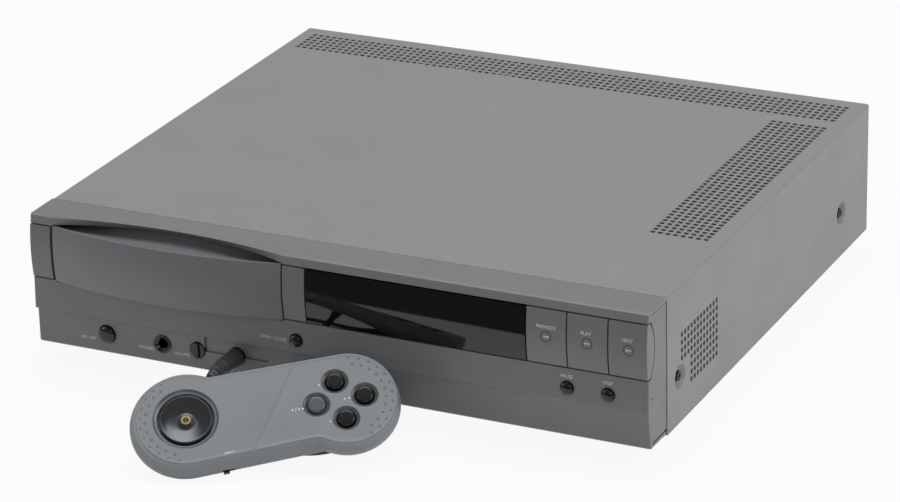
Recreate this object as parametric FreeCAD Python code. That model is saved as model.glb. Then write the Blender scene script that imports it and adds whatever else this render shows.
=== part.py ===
"""Interactive disc player of full hi-fi width with its wired hand pad.

Frame while modelling: X to the viewer's right, Y towards the back, Z up, with the floor at
z = 0 and y = 0 in the plane of the visor's front edge. Every solid is moved by origin_y along
Y when it is written, which puts the origin under the middle of the whole. Lengths in mm.
"""
import FreeCAD
import Part
import math
import os
from FreeCAD import Vector

# Casing, from the photograph and the usual hi-fi width
body_width = 420.0
cover_front_y = 27.8
cover_back_y = 378.7
top_z = 100.0
foot_height = 10.3
sheet = 1.0
bend_radius = 1.5
slip = 0.3
origin_y = -130.24

# Vent holes punched in the cover
vent_x = 3.3
vent_y = 3.0
vent_pitch_x = 5.024
vent_pitch_y = 5.12
rear_vent_columns = 80
rear_vent_rows = 6
rear_vent_back_inset = 12.3
side_block_columns = 8
side_block_rows = 42
side_block_inset = 12.0
side_block_front_y = 119.0
side_block_pitch = 5.03
wall_vent_columns = 12
wall_vent_rows = 8
wall_vent_short_columns = 3
wall_vent_short_rows = 4
wall_vent_y = 50.9
wall_vent_top_drop = 33.1
wall_vent_pitch = 5.06

# Cover screws in round dimples
dimple_radius = 8.0
dimple_floor_radius = 5.0
dimple_depth = 2.6
screw_hole_radius = 1.6
screw_shank_radius = 1.5
screw_head_radius = 3.3
screw_head_height = 2.0
screw_length = 6.5
side_screw_y = (47.7, 327.7)
side_screw_z = 41.0

# Visor, the moulded strip in front of the cover
visor_height = 5.55
visor_skin = 2.3
visor_top_skin = 1.6
visor_lip_skin = 2.8
visor_lean = 0.9
visor_bevel_depth = 2.2
visor_bevel_height = 0.5
visor_gap = 0.9
end_round = 1.2
scoop_half_chord = 77.5
scoop_depth_top = 8.5
scoop_depth_bottom = 15.5

# Band of drawer, display and keys between visor and lower fascia
band_edge_y = -1.0
band_bulge = 1.5
band_bottom_z = 57.9
panel_skin = 2.5
line_gap = 0.45
drawer_centre_x = -112.5
drawer_opening_width = 162.1
drawer_end_gap = 1.75
drawer_extra_height = 1.0
mid_block_width = 15.85
display_width = 147.4
key_pitch = 26.5
key_drop = 23.7
key_travel = 0.6
key_flange_skin = 3.7

# Lower fascia with its step
fascia_skin = 2.4
crease_z = 36.8
crease_drop = 1.7
fascia_lean = 0.8
crease_step = 3.0
crease_fade_start_x = 107.0
crease_fade_end_x = 165.0
fascia_bottom_z = 12.4
fascia_flange = 2.0
fascia_back_y = 25.0
fascia_end_skin = 2.6
upper_row_z = 45.1
lower_row_z = 25.4
open_button_x = -23.5
pause_button_x = 157.9
stop_button_x = 184.3
power_button_x = -159.7
phones_x = -119.8
volume_x = -94.8
port_x = -67.4
small_button_radius = 4.1
power_button_radius = 5.8
button_stand = 3.0
button_travel = 0.8
button_gap = 0.4
knob_radius = 5.2
knob_stand = 2.4
knob_bar_height = 1.6
knob_bar_width = 2.6
knob_shaft_radius = 1.9
port_recess_left = 22.2
port_recess_right = 22.5
port_recess_depth = 1.2
port_recess_drop = 0.1
port_radius = 6.1
phones_ring_radius = 5.8
phones_ring_stand = 1.2
phones_cone_radius = 5.0
phones_cone_depth = 1.4
phones_bore_radius = 3.2
phones_body = 14.0
phones_depth = 34.0

# Inner front moulding
wall_front_y = 9.0
wall_skin = 2.0
cheek_inset = 0.3
cheek_skin = 2.6
cheek_gap = 0.8
cheek_front_y = 3.6
cheek_step = 2.0
cheek_step_z = 43.7
cheek_arc_y = 9.8
board_y = 17.0
board_low_z = 16.0
board_step_z = 52.0
board_high_z = 94.0
board_notch_half = 12.0
board_notch_z = 38.0
board_skin = 1.6
boss_radius = 3.0
switch_size = 6.0
switch_height = 3.1
switch_gap = 1.0

# Drawer front and tray
drawer_bulge = 9.6
drawer_edge_y = -1.5
drawer_skin = 2.5
ledge_depth = 17.0
ledge_dish = 3.6
ledge_skin = 6.5
carrier_skin = 2.0
tray_width = 136.0
tray_front_y = 6.5
tray_back_y = 186.0
tray_floor_z = 68.0
tray_rim_z = 76.0
tray_rail_width = 4.5
tray_rail_height = 3.0
tray_travel = 145.0
disc_centre_y = 78.0
disc_pocket_radius = 61.0
small_disc_radius = 41.0
pocket_floor = 3.5
small_pocket_floor = 2.3
tray_slot_half = 19.0
tray_slot_front = 18.0
tray_slot_back = 92.0

# Loader, its gear train and belt
deck_z = 41.0
deck_skin = 3.0
loader_half_width = 85.0
loader_front_y = 22.0
loader_back_y = 192.0
guide_inner = 73.5
guide_skin = 3.0
window_half = 36.0
window_front_y = 54.0
window_back_y = 176.0
rack_module = 1.5
pinion_teeth = 14
wheel_module = 1.0
wheel_teeth = 30
small_pinion_teeth = 15
mesh_slack = 0.15
rack_offset = 58.0
gear_y = 34.0
wheel_z = 55.0
wheel_thick = 3.5
pinion_z = 61.5
pinion_thick = 4.5
post_radius = 2.0
running = 0.05
belt_pulley_radius = 12.0
motor_pulley_radius = 5.0
pulley_z = 48.0
pulley_thick = 4.0
pulley_flange = 1.4
belt_size = 1.2
motor_offset = -30.0
motor_radius = 10.5
motor_length = 21.0
motor_shaft_radius = 1.0

# Lifting deck with spindle, rails and laser sled
lift_half = 33.0
lift_front_y = 57.0
lift_back_y = 172.0
lift_z = 45.5
lift_skin = 2.5
lift_pivot_y = 169.0
lift_pin_radius = 1.5
lift_angle = 6.0
rail_offset = 24.0
rail_radius = 1.5
rail_z = 58.0
rail_front_y = 94.0
rail_back_y = 162.0
rail_post = 3.0
sled_front_y = 98.0
sled_length = 26.0
sled_travel = 34.0
lens_y = 105.0
lens_radius = 3.0
lens_edge = 1.2
lens_crown = 1.0
lens_seat_z = 66.5
sled_half_height = 4.0
spindle_motor_radius = 12.0
spindle_motor_height = 12.0
turntable_radius = 15.0
turntable_z = 70.9
turntable_thick = 2.4
turntable_cone_radius = 7.4
turntable_top_z = 76.0
spindle_radius = 1.5

# Clamp over the disc
bridge_z = 86.0
bridge_skin = 2.2
bridge_half_depth = 14.0
puck_neck_radius = 10.5
puck_flange_radius = 14.0
puck_hole_radius = 11.5
puck_pad_radius = 14.0
puck_bottom_z = 74.9
puck_plate = 2.0

# Boards and what they carry
standoff_height = 8.7
standoff_radius = 3.5
circuit_skin = 1.6
main_board_left = -25.0
main_board_right = 200.0
main_board_front = 45.0
main_board_back = 360.0
supply_left = -200.0
supply_right = -60.0
supply_front = 215.0
core_length = 56.0
core_depth = 46.0
core_height = 47.0

# Rear sockets
rca_radius = 4.15
rca_length = 9.0
rca_collar_radius = 5.0
rca_collar_stand = 1.0
rca_bore_radius = 1.6
rca_spacing = 19.0
round_socket_radius = 7.5
round_socket_bore = 4.7
inlet_width = 28.0
inlet_height = 20.0

# Hand pad, in its own plane
pad_lobe_radius = 30.2
pad_spacing = 96.8
pad_lower_slope = 4.9
pad_upper_slope = 3.0
pad_notch_radius = 9.0
pad_seam_depth = 9.9
pad_thickness = 17.0
pad_flare = 4.0
pad_right_flare_share = 0.4
pad_skin = 2.2
pad_azimuth = 26.0
pad_elevation = 52.0
pad_roll = 6.64
pad_x = -45.9
pad_y = -101.1
pad_z = 31.27
disc_ring_radius = 19.35
disc_well_radius = 17.3
disc_ring_depth = 3.2
disc_well_depth = 6.2
disc_well_skin = 1.2
disc_well_hole = 6.0
thumb_disc_radius = 15.9
thumb_disc_thick = 3.2
thumb_disc_dish = 2.4
insert_radius = 3.0
insert_bore_radius = 1.65
ball_radius = 3.0
ball_depth = 9.6
pad_button_ring = 8.0
pad_button_hole = 6.2
pad_button_radius = 5.7
pad_button_stand = 1.3
pad_button_travel = 1.2
pad_ring_depth = 1.8
pad_button_places = {
    "top": (90.8, 12.0),
    "left": (78.2, -1.9),
    "right": (107.4, 0.6),
    "bottom": (94.7, -13.3),
}
speed_slot_u = 22.0
speed_slot_length = 7.6
speed_slot_height = 2.8
speed_knob_length = 3.6
speed_travel = 3.4
pad_relief_u = 34.0
pad_relief_v = 15.0
pad_relief_length = 11.0

# Cord between console and pad
cord_diameter = 4.5
plug_radius = 5.7
plug_length = 18.0
relief_length = 15.0
plug_collar_radius = 5.0
plug_collar_length = 8.3
plug_groove = 0.8
plug_groove_radius = 3.2
relief_back_radius = 4.0
coil_x = -2.0
coil_y = -29.0
coil_outer = 36.0
coil_turns = 3.5
coil_turns_out = 3.75
coil_pitch = 6.3


def box(x0, x1, y0, y1, z0, z1):
    """Block between two corners."""
    return Part.makeBox(x1 - x0, y1 - y0, z1 - z0, Vector(x0, y0, z0))


def rod(radius, start, end):
    """Round bar between two points."""
    start = Vector(*start)
    direction = Vector(*end) - start
    return Part.makeCylinder(radius, direction.Length, start, direction)


def taper(radius_a, radius_b, start, end):
    """Cone frustum between two points."""
    start = Vector(*start)
    direction = Vector(*end) - start
    return Part.makeCone(radius_a, radius_b, direction.Length, start, direction)


def join(shapes):
    """One solid made of touching or overlapping solids."""
    return shapes[0].multiFuse(shapes[1:]).removeSplitter()


def outline(points):
    """Closed wire through points; a pair in the list is the middle and end of an arc."""
    edges = []
    here = Vector(*points[0])
    for step in points[1:] + [points[0]]:
        if isinstance(step[0], tuple):
            middle, end = Vector(*step[0]), Vector(*step[1])
            edges.append(Part.Arc(here, middle, end).toShape())
        else:
            end = Vector(*step)
            if (end - here).Length < 1e-6:
                continue
            edges.append(Part.LineSegment(here, end).toShape())
        here = end
    return Part.Wire(edges)


def prism(points, direction):
    """Solid pushed out of a closed outline."""
    return Part.Face(outline(points)).extrude(Vector(*direction))


def along_x(profile, x0, x1):
    """Solid with a constant (y, z) section from x0 to x1."""
    lifted = [tuple((x0,) + p for p in s) if isinstance(s[0], tuple) else (x0,) + s for s in profile]
    return prism(lifted, (x1 - x0, 0, 0))


def gear(teeth, module, bore, z0, thick, centre, phase=0.0, slack=0.12):
    """Spur gear about Z with straight-sided teeth; phase turns it, in degrees."""
    pitch = teeth * module / 2
    tip = pitch + 0.9 * module
    root = pitch - 1.15 * module
    step = 2 * math.pi / teeth
    half = (math.pi * module / 4 - slack) / pitch
    lean = math.tan(math.radians(20)) * module / pitch
    points = []
    for index in range(teeth):
        middle = index * step + math.radians(phase)
        for radius, angle in ((root, -half - lean), (tip, -half + lean), (tip, half - lean),
                              (root, half + lean)):
            points.append((centre[0] + radius * math.cos(middle + angle),
                           centre[1] + radius * math.sin(middle + angle), z0))
    solid = prism(points, (0, 0, thick))
    if bore:
        solid = solid.cut(Part.makeCylinder(bore, thick + 2, Vector(centre[0], centre[1], z0 - 1)))
    return solid


band_top_z = top_z - visor_height
end_front_y = 2.0
end_profile = [(end_round * (1 - math.sin(math.radians(a))), end_round * (1 - math.cos(math.radians(a))))
               for a in (90, 75, 60, 45, 30, 15, 0)]
band_middle_z = (band_top_z + band_bottom_z) / 2
band_half = (band_top_z - band_bottom_z) / 2
band_curve = (band_half ** 2 + band_bulge ** 2) / (2 * band_bulge)
wall_back_y = wall_front_y + wall_skin
half_width = body_width / 2
inner_half = half_width - sheet
cover_bottom_z = foot_height
pan_top_z = foot_height + sheet
drawer_left = drawer_centre_x - drawer_opening_width / 2
drawer_right = drawer_centre_x + drawer_opening_width / 2
mid_block_right = drawer_right + mid_block_width
display_right = mid_block_right + display_width
key_edges = [display_right + i * key_pitch for i in range(4)]
lower_face_y = band_edge_y - fascia_lean + crease_step
bezel_y = band_edge_y - fascia_lean * (band_bottom_z - upper_row_z) / (band_bottom_z - crease_z)
stem_end_y = board_y - switch_height - switch_gap


def band_y(z, inset=0.0):
    """Front surface of the band at height z, a shallow arc."""
    return (band_edge_y - band_bulge + band_curve
            - math.sqrt((band_curve - inset) ** 2 - (z - band_middle_z) ** 2))


def band_section(z0, z1, skin):
    """Curved wall that follows the band, as a (y, z) outline."""
    middle = (z0 + z1) / 2
    return [(band_y(z0), z0), ((band_y(middle), middle), (band_y(z1), z1)),
            (band_y(z1) + skin, z1), ((band_y(middle) + skin, middle), (band_y(z0) + skin, z0))]


def band_block(z0, z1, back):
    """Curved front with a flat back, as a (y, z) outline."""
    middle = (z0 + z1) / 2
    return [(band_y(z0), z0), ((band_y(middle), middle), (band_y(z1), z1)), (back, z1), (back, z0)]


def vent_grid(x0, y0, columns, rows, pitch_y):
    """Punches for a block of vent holes in the top."""
    punches = []
    for column in range(columns):
        for row in range(rows):
            x = x0 + column * vent_pitch_x
            y = y0 + row * pitch_y
            punches.append(box(x - vent_x / 2, x + vent_x / 2, y - vent_y / 2, y + vent_y / 2,
                               top_z - 2 * sheet, top_z + sheet))
    return punches


def wall_vents():
    """Punches in the right side wall; the first columns stop above the screw dimple."""
    punches = []
    for column in range(wall_vent_columns):
        rows = wall_vent_short_rows if column < wall_vent_short_columns else wall_vent_rows
        for row in range(rows):
            y = wall_vent_y + column * wall_vent_pitch
            z = top_z - wall_vent_top_drop - row * wall_vent_pitch
            punches.append(box(inner_half - sheet, half_width + sheet,
                               y - vent_y / 2, y + vent_y / 2, z - vent_x / 2, z + vent_x / 2))
    return punches


def make_top_cover():
    """Folded steel cover: a U with vent holes and four screw dimples."""
    r = bend_radius
    c = r * (1 - math.sqrt(0.5))
    ri = r - sheet
    ci = ri * (1 - math.sqrt(0.5))
    w, i, t, b = half_width, inner_half, top_z, cover_bottom_z
    ti = top_z - sheet
    y = cover_front_y
    section = [(-w, y, b), (-w, y, t - r), ((-w + c, y, t - c), (-w + r, y, t)), (w - r, y, t),
               ((w - c, y, t - c), (w, y, t - r)), (w, y, b), (i, y, b), (i, y, ti - ri),
               ((i - ci, y, ti - ci), (i - ri, y, ti)), (-i + ri, y, ti),
               ((-i + ci, y, ti - ci), (-i, y, ti - ri)), (-i, y, b)]
    shell = prism(section, (0, cover_back_y - cover_front_y, 0))
    bumps = []
    cuts = []
    for side in (-1, 1):
        for y in side_screw_y:
            outer = side * half_width
            bumps.append(taper(dimple_radius + sheet, dimple_floor_radius + sheet,
                               (side * inner_half, y, side_screw_z),
                               (outer - side * (dimple_depth + sheet), y, side_screw_z)))
            cuts.append(taper(dimple_radius, dimple_floor_radius, (outer, y, side_screw_z),
                              (outer - side * dimple_depth, y, side_screw_z)))
            cuts.append(rod(screw_hole_radius, (outer, y, side_screw_z),
                            (outer - side * 4 * sheet - side * dimple_depth, y, side_screw_z)))
    shell = shell.multiFuse(bumps).cut(Part.makeCompound(cuts))
    rear_x = -(rear_vent_columns - 1) * vent_pitch_x / 2
    rear_y = cover_back_y - rear_vent_back_inset - (rear_vent_rows - 1) * vent_pitch_y
    block_x = half_width - side_block_inset - (side_block_columns - 1) * vent_pitch_x
    punches = vent_grid(rear_x, rear_y, rear_vent_columns, rear_vent_rows, vent_pitch_y)
    punches += vent_grid(block_x, side_block_front_y, side_block_columns, side_block_rows, side_block_pitch)
    punches += wall_vents()
    return shell.cut(Part.makeCompound(punches))


pan_half = inner_half - slip
pan_front_y = cover_front_y - 4.0
rear_panel_y = cover_back_y - 2.5
tab_x = half_width - dimple_depth - sheet
foot_places = [(x, y) for x in (-170.0, 170.0) for y in (52.0, 340.0)]
main_standoffs = [(x, y) for x in (main_board_left + 8, main_board_right - 8)
                  for y in (main_board_front + 8, (main_board_front + main_board_back) / 2,
                            main_board_back - 8)]
supply_standoffs = [(x, y) for x in (supply_left + 8, supply_right - 8)
                    for y in (supply_front + 8, main_board_back - 8)]
board_z = pan_top_z + standoff_height


def make_chassis_pan():
    """Bottom sheet with standoffs, side screw tabs and a rear lip."""
    parts = [box(-pan_half, pan_half, pan_front_y, rear_panel_y, foot_height, pan_top_z),
             box(-pan_half, pan_half, pan_front_y, pan_front_y + sheet, foot_height, fascia_bottom_z)]
    for x, y in main_standoffs + supply_standoffs:
        parts.append(rod(standoff_radius, (x, y, pan_top_z), (x, y, board_z)))
    for side in (-1, 1):
        for y in side_screw_y:
            inner = side * (tab_x - 2 * sheet)
            outer = side * tab_x
            parts.append(box(min(inner, outer), max(inner, outer), y - 9, y + 9, foot_height,
                             side_screw_z + 9))
    pan = join(parts)
    for side in (-1, 1):
        for y in side_screw_y:
            pan = pan.cut(rod(screw_shank_radius, (side * (tab_x - 6), y, side_screw_z),
                              (side * (tab_x + 2), y, side_screw_z)))
    return pan


def make_feet():
    """Four moulded feet, slightly tapered."""
    feet = [taper(11.0, 13.0, (x, y, 0), (x, y, foot_height)) for x, y in foot_places]
    return Part.makeCompound(feet)


rca_columns = [-10.0 + i * rca_spacing for i in range(3)]
rca_z = (40.0, 40.0 + rca_spacing)
round_socket_columns = (58.0, 86.0)
round_socket_z = 49.0
jack_block_depth = 26.0
inlet_x = -165.0
inlet_z = 45.0


def make_rear_panel():
    """Steel back with a hole for each socket and slots above the supply."""
    y0, y1 = rear_panel_y, rear_panel_y + sheet
    panel = box(-pan_half, pan_half, y0, y1, foot_height, top_z - sheet - slip)
    cuts = []
    for x in rca_columns:
        for z in rca_z:
            cuts.append(rod(rca_collar_radius + 0.2, (x, y0 - 1, z), (x, y1 + 1, z)))
    for x in round_socket_columns:
        cuts.append(rod(round_socket_radius + 0.2, (x, y0 - 1, round_socket_z), (x, y1 + 1, round_socket_z)))
    cuts.append(box(inlet_x - inlet_width / 2 - 0.2, inlet_x + inlet_width / 2 + 0.2, y0 - 1, y1 + 1,
                    inlet_z - inlet_height / 2 - 0.2, inlet_z + inlet_height / 2 + 0.2))
    for index in range(14):
        x = -120.0 + index * 6.0
        cuts.append(box(x - 1.2, x + 1.2, y0 - 1, y1 + 1, 62, 86))
    return panel.cut(Part.makeCompound(cuts))


def make_rear_jacks():
    """Three pairs of phono sockets and two round sockets, each on its insulating block."""
    y0 = rear_panel_y + sheet
    back = rear_panel_y - sheet
    low = board_z + circuit_skin
    jacks = []
    for x in rca_columns:
        block = box(x - 8, x + 8, back - jack_block_depth, back, low, rca_z[1] + 8)
        collar_y = y0 + rca_collar_stand
        for z in rca_z:
            block = block.fuse(rod(rca_collar_radius, (x, back - 1, z), (x, collar_y, z)))
            block = block.fuse(rod(rca_radius, (x, collar_y - 1, z), (x, collar_y + rca_length, z)))
        for z in rca_z:
            block = block.cut(rod(rca_bore_radius, (x, y0 - 8, z), (x, collar_y + rca_length + 1, z)))
        jacks.append(block)
    for x in round_socket_columns:
        block = box(x - 9, x + 9, back - jack_block_depth, back, low, round_socket_z + 9)
        block = block.fuse(rod(round_socket_radius, (x, back - 1, round_socket_z),
                               (x, y0 + 1.5, round_socket_z)))
        jacks.append(block.cut(rod(round_socket_bore, (x, y0 - 8, round_socket_z),
                                   (x, y0 + 3, round_socket_z))))
    return Part.makeCompound(jacks)


def make_mains_inlet():
    """Two-pin mains inlet with a figure-of-eight well."""
    y1 = rear_panel_y + sheet + 2.0
    body = box(inlet_x - inlet_width / 2, inlet_x + inlet_width / 2, y1 - 24, y1,
               inlet_z - inlet_height / 2, inlet_z + inlet_height / 2)
    body = body.fuse(box(inlet_x - inlet_width / 2 - 4, inlet_x + inlet_width / 2 + 4, y1 - 2, y1,
                         inlet_z - inlet_height / 2 - 2, inlet_z + inlet_height / 2 + 2))
    well = box(inlet_x - 4, inlet_x + 4, y1 - 12, y1 + 1, inlet_z - 4.2, inlet_z + 4.2)
    for side in (-1, 1):
        x = inlet_x + side * 4.5
        well = well.fuse(rod(4.2, (x, y1 - 12, inlet_z), (x, y1 + 1, inlet_z)))
    body = body.cut(well)
    for side in (-1, 1):
        x = inlet_x + side * 4.3
        body = body.fuse(rod(1.2, (x, y1 - 13, inlet_z), (x, y1 - 2, inlet_z)))
    return body


def make_cover_screws():
    """Four machine screws with round heads, in the side dimples."""
    screws = []
    for side in (-1, 1):
        for y in side_screw_y:
            seat = side * (half_width - dimple_depth)
            head = rod(screw_head_radius, (seat, y, side_screw_z),
                       (seat + side * screw_head_height, y, side_screw_z))
            shank = rod(screw_shank_radius, (seat, y, side_screw_z),
                        (seat - side * screw_length, y, side_screw_z))
            slot = box(-0.5, 0.5, y - 2.2, y + 2.2, side_screw_z - 0.45, side_screw_z + 0.45)
            cross = box(-0.5, 0.5, y - 0.45, y + 0.45, side_screw_z - 2.2, side_screw_z + 2.2)
            move = Vector(seat + side * (screw_head_height - 0.4), 0, 0)
            slot.translate(move)
            cross.translate(move)
            screws.append(head.fuse(shank).cut(slot).cut(cross))
    return Part.makeCompound(screws)


def plan_segment(depth, chord_half, z):
    """Closed wire in plan: a chord in front of y = 0 and an arc that reaches back by depth."""
    x0 = drawer_centre_x - chord_half
    x1 = drawer_centre_x + chord_half
    return outline([(x0, -3.0, z), (x0, 0.0, z), ((drawer_centre_x, depth, z), (x1, 0.0, z)), (x1, -3.0, z)])


def scoop_solid(grow, z0, z1):
    """Slanted finger scoop under the visor, grown outwards by a wall."""
    slope = (scoop_depth_bottom - scoop_depth_top) / visor_height
    wires = []
    for z in (z0, z1):
        depth = scoop_depth_top + slope * (top_z - z) + grow
        wires.append(plan_segment(depth, scoop_half_chord + grow, z))
    return Part.makeLoft(wires, True, True)


def round_ends(strip):
    """Front strip with the upright corners at both its ends rounded."""
    edges = []
    for edge in strip.Edges:
        ends = [v.Point for v in edge.Vertexes]
        at_end = all(abs(abs(p.x) - half_width) < 0.01 for p in ends)
        upright = len(ends) == 2 and abs(ends[0].z - ends[1].z) > 3.0
        if at_end and upright and max(p.y for p in ends) < end_front_y:
            edges.append(edge)
    return strip.makeFillet(end_round, edges)


def make_visor():
    """Moulded strip: a flat top, a front lip and an arched scoop over the drawer."""
    back = cover_front_y - slip
    under = top_z - visor_top_skin
    lip = [(-visor_lean, band_top_z), (0.0, top_z - visor_bevel_height), (visor_bevel_depth, top_z),
           (back, top_z),
           (back, under), (visor_lip_skin, under), (visor_lip_skin, band_top_z)]
    strip = round_ends(along_x(lip, -half_width, half_width))
    wall = scoop_solid(visor_skin, band_top_z, top_z)
    strip = strip.fuse(wall.common(box(-half_width, half_width, 0.0, cover_front_y - slip, band_top_z,
                                       top_z)))
    room = box(drawer_left, drawer_right, -5, back, band_top_z - 1, band_top_z + drawer_extra_height)
    strip = strip.cut(scoop_solid(0.0, band_top_z - 1, top_z + 1)).cut(room)
    return strip.removeSplitter()


def round_hole(x, z, radius, y0=-10.0, y1=30.0):
    """Cutter for a round hole through the front."""
    return rod(radius, (x, y0, z), (x, y1, z))


def fascia_face(fade, shift):
    """Front line of the lower fascia as (y, z), moved back by shift.

    Fade 0 gives the full step below the crease and fade 1 gives none.
    """
    lean_y = band_edge_y - fascia_lean
    bottom = fascia_bottom_z
    face = [(band_edge_y, band_bottom_z - line_gap), (lean_y, crease_z),
            (lower_face_y - fade * crease_step, crease_z - crease_drop), (lower_face_y, bottom + 1),
            (lower_face_y + 1, bottom)]
    return [(y + shift, z) for y, z in face]


def fascia_section(x, fade, shift):
    """Section of the fascia's shell at x: the front line, the bottom return and the inner line."""
    t = fascia_skin - shift
    face = fascia_face(fade, shift)
    back = fascia_back_y
    floor = fascia_bottom_z + fascia_flange
    inner = [(back, fascia_bottom_z), (back, floor), (face[3][0] + t, floor),
             (face[2][0] + t, face[2][1] + 0.8),
             (face[1][0] + t, face[1][1] + 0.8), (face[0][0] + t, face[0][1])]
    return [(x, y, z) for y, z in face + inner]


def fascia_end(side, fade):
    """Return wall at one end of the fascia, set back by a step below cheek_step_z."""
    upper = cheek_front_y - cheek_gap
    lower = upper + cheek_step
    floor = fascia_bottom_z + fascia_flange
    section = fascia_face(fade, end_round)
    section += [(lower, fascia_bottom_z), (lower, floor), (lower, cheek_step_z), (upper, cheek_step_z),
                (upper, band_bottom_z - line_gap)]
    inner, outer = sorted((side * (half_width - fascia_end_skin), side * half_width))
    return along_x(section, inner, outer)


def make_lower_fascia():
    """Lower front shell: leaning upper part, step, recessed lower part and bottom return."""
    low_y = lower_face_y
    low_z = crease_z - crease_drop
    faded = 1 - crease_drop / (crease_z - fascia_bottom_z - 1)
    left = [(-half_width + inset, 0.0, shift) for inset, shift in end_profile]
    right = [(half_width - inset, faded, shift) for inset, shift in reversed(end_profile)]
    stations = left + [(crease_fade_start_x, 0.0, 0.0), (crease_fade_end_x, faded, 0.0)] + right
    spans = []
    for first, second in zip(stations, stations[1:]):
        wires = [outline(fascia_section(*first)), outline(fascia_section(*second))]
        spans.append(Part.makeLoft(wires, True, True))
    shell = join(spans + [fascia_end(-1, 0.0), fascia_end(1, faded)])
    cuts = [box(port_x - port_recess_left, port_x + port_recess_right, low_y - 3, low_y + port_recess_depth,
                lower_row_z - port_recess_drop, low_z + 0.4),
            box(drawer_left, drawer_right, -10, low_y + fascia_skin + 1,
                band_bottom_z - line_gap - drawer_extra_height, band_bottom_z)]
    for x in (open_button_x, pause_button_x, stop_button_x):
        cuts.append(round_hole(x, upper_row_z, small_button_radius + button_gap))
    cuts.append(round_hole(power_button_x, lower_row_z, power_button_radius + button_gap))
    cuts.append(round_hole(phones_x, lower_row_z, phones_ring_radius + 0.05))
    cuts.append(round_hole(volume_x, lower_row_z, knob_radius + button_gap))
    cuts.append(round_hole(port_x, lower_row_z, port_radius))
    return shell.cut(Part.makeCompound(cuts))


def cheek(side):
    """Inset side panel, set back by a step below, with a gap all round."""
    outer = side * (half_width - cheek_inset)
    inner = outer - side * cheek_skin
    top = top_z - visor_top_skin - cheek_gap
    back = cover_front_y - cheek_gap
    bottom = fascia_bottom_z + fascia_flange + cheek_gap
    low = cheek_front_y + cheek_step
    step_z = cheek_step_z + cheek_gap
    section = [(cheek_front_y, top), (back, top), (back, bottom), (low, bottom), (low, step_z),
               (cheek_front_y, step_z)]
    return along_x(section, min(inner, outer), max(inner, outer))


def key_end_room():
    """Arched room in the right cheek for the last key's side flange."""
    room = [(-5.0, band_bottom_z), (cheek_front_y, band_bottom_z), ((cheek_arc_y, band_middle_z),
            (cheek_front_y, band_top_z)), (-5.0, band_top_z)]
    return along_x(room, half_width - cheek_inset - key_flange_skin - 0.3, half_width + 1)


key_stem_radius = 2.2
button_stem_radius = 1.8
stem_clearance = 0.3
key_centres = [(key_edges[i] + key_edges[i + 1]) / 2 for i in range(3)]
key_z = top_z - key_drop
board_bosses = [(-196, 22), (-140, 48), (-50, 48), (60, 22), (60, 48), (196, 22), (100, 91), (20, 91)]


def make_front_frame():
    """Inner moulding: wall, flanges, side cheeks, end block, middle block and board bosses."""
    side_in = half_width - cheek_inset - cheek_skin
    bottom = fascia_bottom_z + fascia_flange
    top = top_z - visor_top_skin
    parts = [box(-side_in - 1, side_in + 1, wall_front_y, wall_back_y, bottom, top),
             box(-side_in - 1, side_in + 1, wall_back_y - 1, cover_front_y - 1, top - 2, top),
             cheek(-1), cheek(1)]
    block_back = wall_front_y + 0.5
    z0, z1 = band_bottom_z + line_gap, band_top_z - visor_gap
    parts.append(along_x(band_block(z0, z1, block_back), -half_width + cheek_inset,
                         drawer_left - drawer_end_gap))
    parts.append(along_x(band_block(z0, z1, block_back), drawer_right + line_gap, mid_block_right - line_gap))
    for x, z in board_bosses:
        parts.append(rod(boss_radius, (x, wall_front_y + 1, z), (x, board_y, z)))
    frame = join(parts)
    cuts = [box(drawer_left, drawer_right, -5, 30, drawer_z0 - line_gap, band_top_z + drawer_extra_height),
            box(mid_block_right + 8, display_right - 8, -5, wall_back_y + 1, band_bottom_z + 3,
                band_top_z - 6.2),
            scoop_solid(visor_skin + 0.3, band_top_z - 1, top_z), key_end_room()]
    for x in key_centres:
        cuts.append(round_hole(x, key_z, key_stem_radius + stem_clearance))
    for x in (open_button_x, pause_button_x, stop_button_x):
        cuts.append(round_hole(x, upper_row_z, button_stem_radius + stem_clearance))
    cuts.append(round_hole(power_button_x, lower_row_z, button_stem_radius + stem_clearance))
    cuts.append(round_hole(volume_x, lower_row_z, knob_shaft_radius + stem_clearance))
    half = phones_body / 2 + 0.3
    for x in (phones_x, port_x):
        cuts.append(box(x - half, x + half, 6, 30, lower_row_z - half, lower_row_z + half))
    return frame.cut(Part.makeCompound(cuts))


def make_display_window():
    """Smoked window of the display, curved like the band, with a frame at its back."""
    x0, x1 = mid_block_right + line_gap, display_right - line_gap
    z0, z1 = band_bottom_z + line_gap, band_top_z - visor_gap
    pane = along_x(band_section(z0, z1, panel_skin), x0, x1)
    rim = along_x(band_block(z0, z1, wall_front_y), x0, x1)
    rim = rim.cut(box(x0 + 4, x1 - 4, -5, 20, z0 + 2.5, z1 - 2.5))
    return pane.fuse(rim).removeSplitter()


def make_key(index):
    """Wide transport key: curved plate, rear stem and, on the last key, a side flange."""
    x0 = key_edges[index] + line_gap
    x1 = key_edges[index + 1] - line_gap
    z0, z1 = band_bottom_z + line_gap, band_top_z - visor_gap
    if index == 2:
        x1 = half_width - cheek_inset - cheek_skin - 0.3
    plate = along_x(band_section(z0, z1, panel_skin), x0, x1)
    x = key_centres[index]
    stem = rod(key_stem_radius, (x, band_edge_y + 1, key_z), (x, stem_end_y, key_z))
    parts = [plate, stem]
    if index == 2:
        gap = key_travel + 0.3
        flange = [(band_y(z0), z0), ((band_y(band_middle_z), band_middle_z), (band_y(z1), z1)),
                  (cheek_front_y - gap, z1), ((cheek_arc_y - gap, band_middle_z), (cheek_front_y - gap, z0))]
        end = half_width - cheek_inset
        parts.append(along_x(flange, end - key_flange_skin, end))
    return join(parts)


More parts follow.
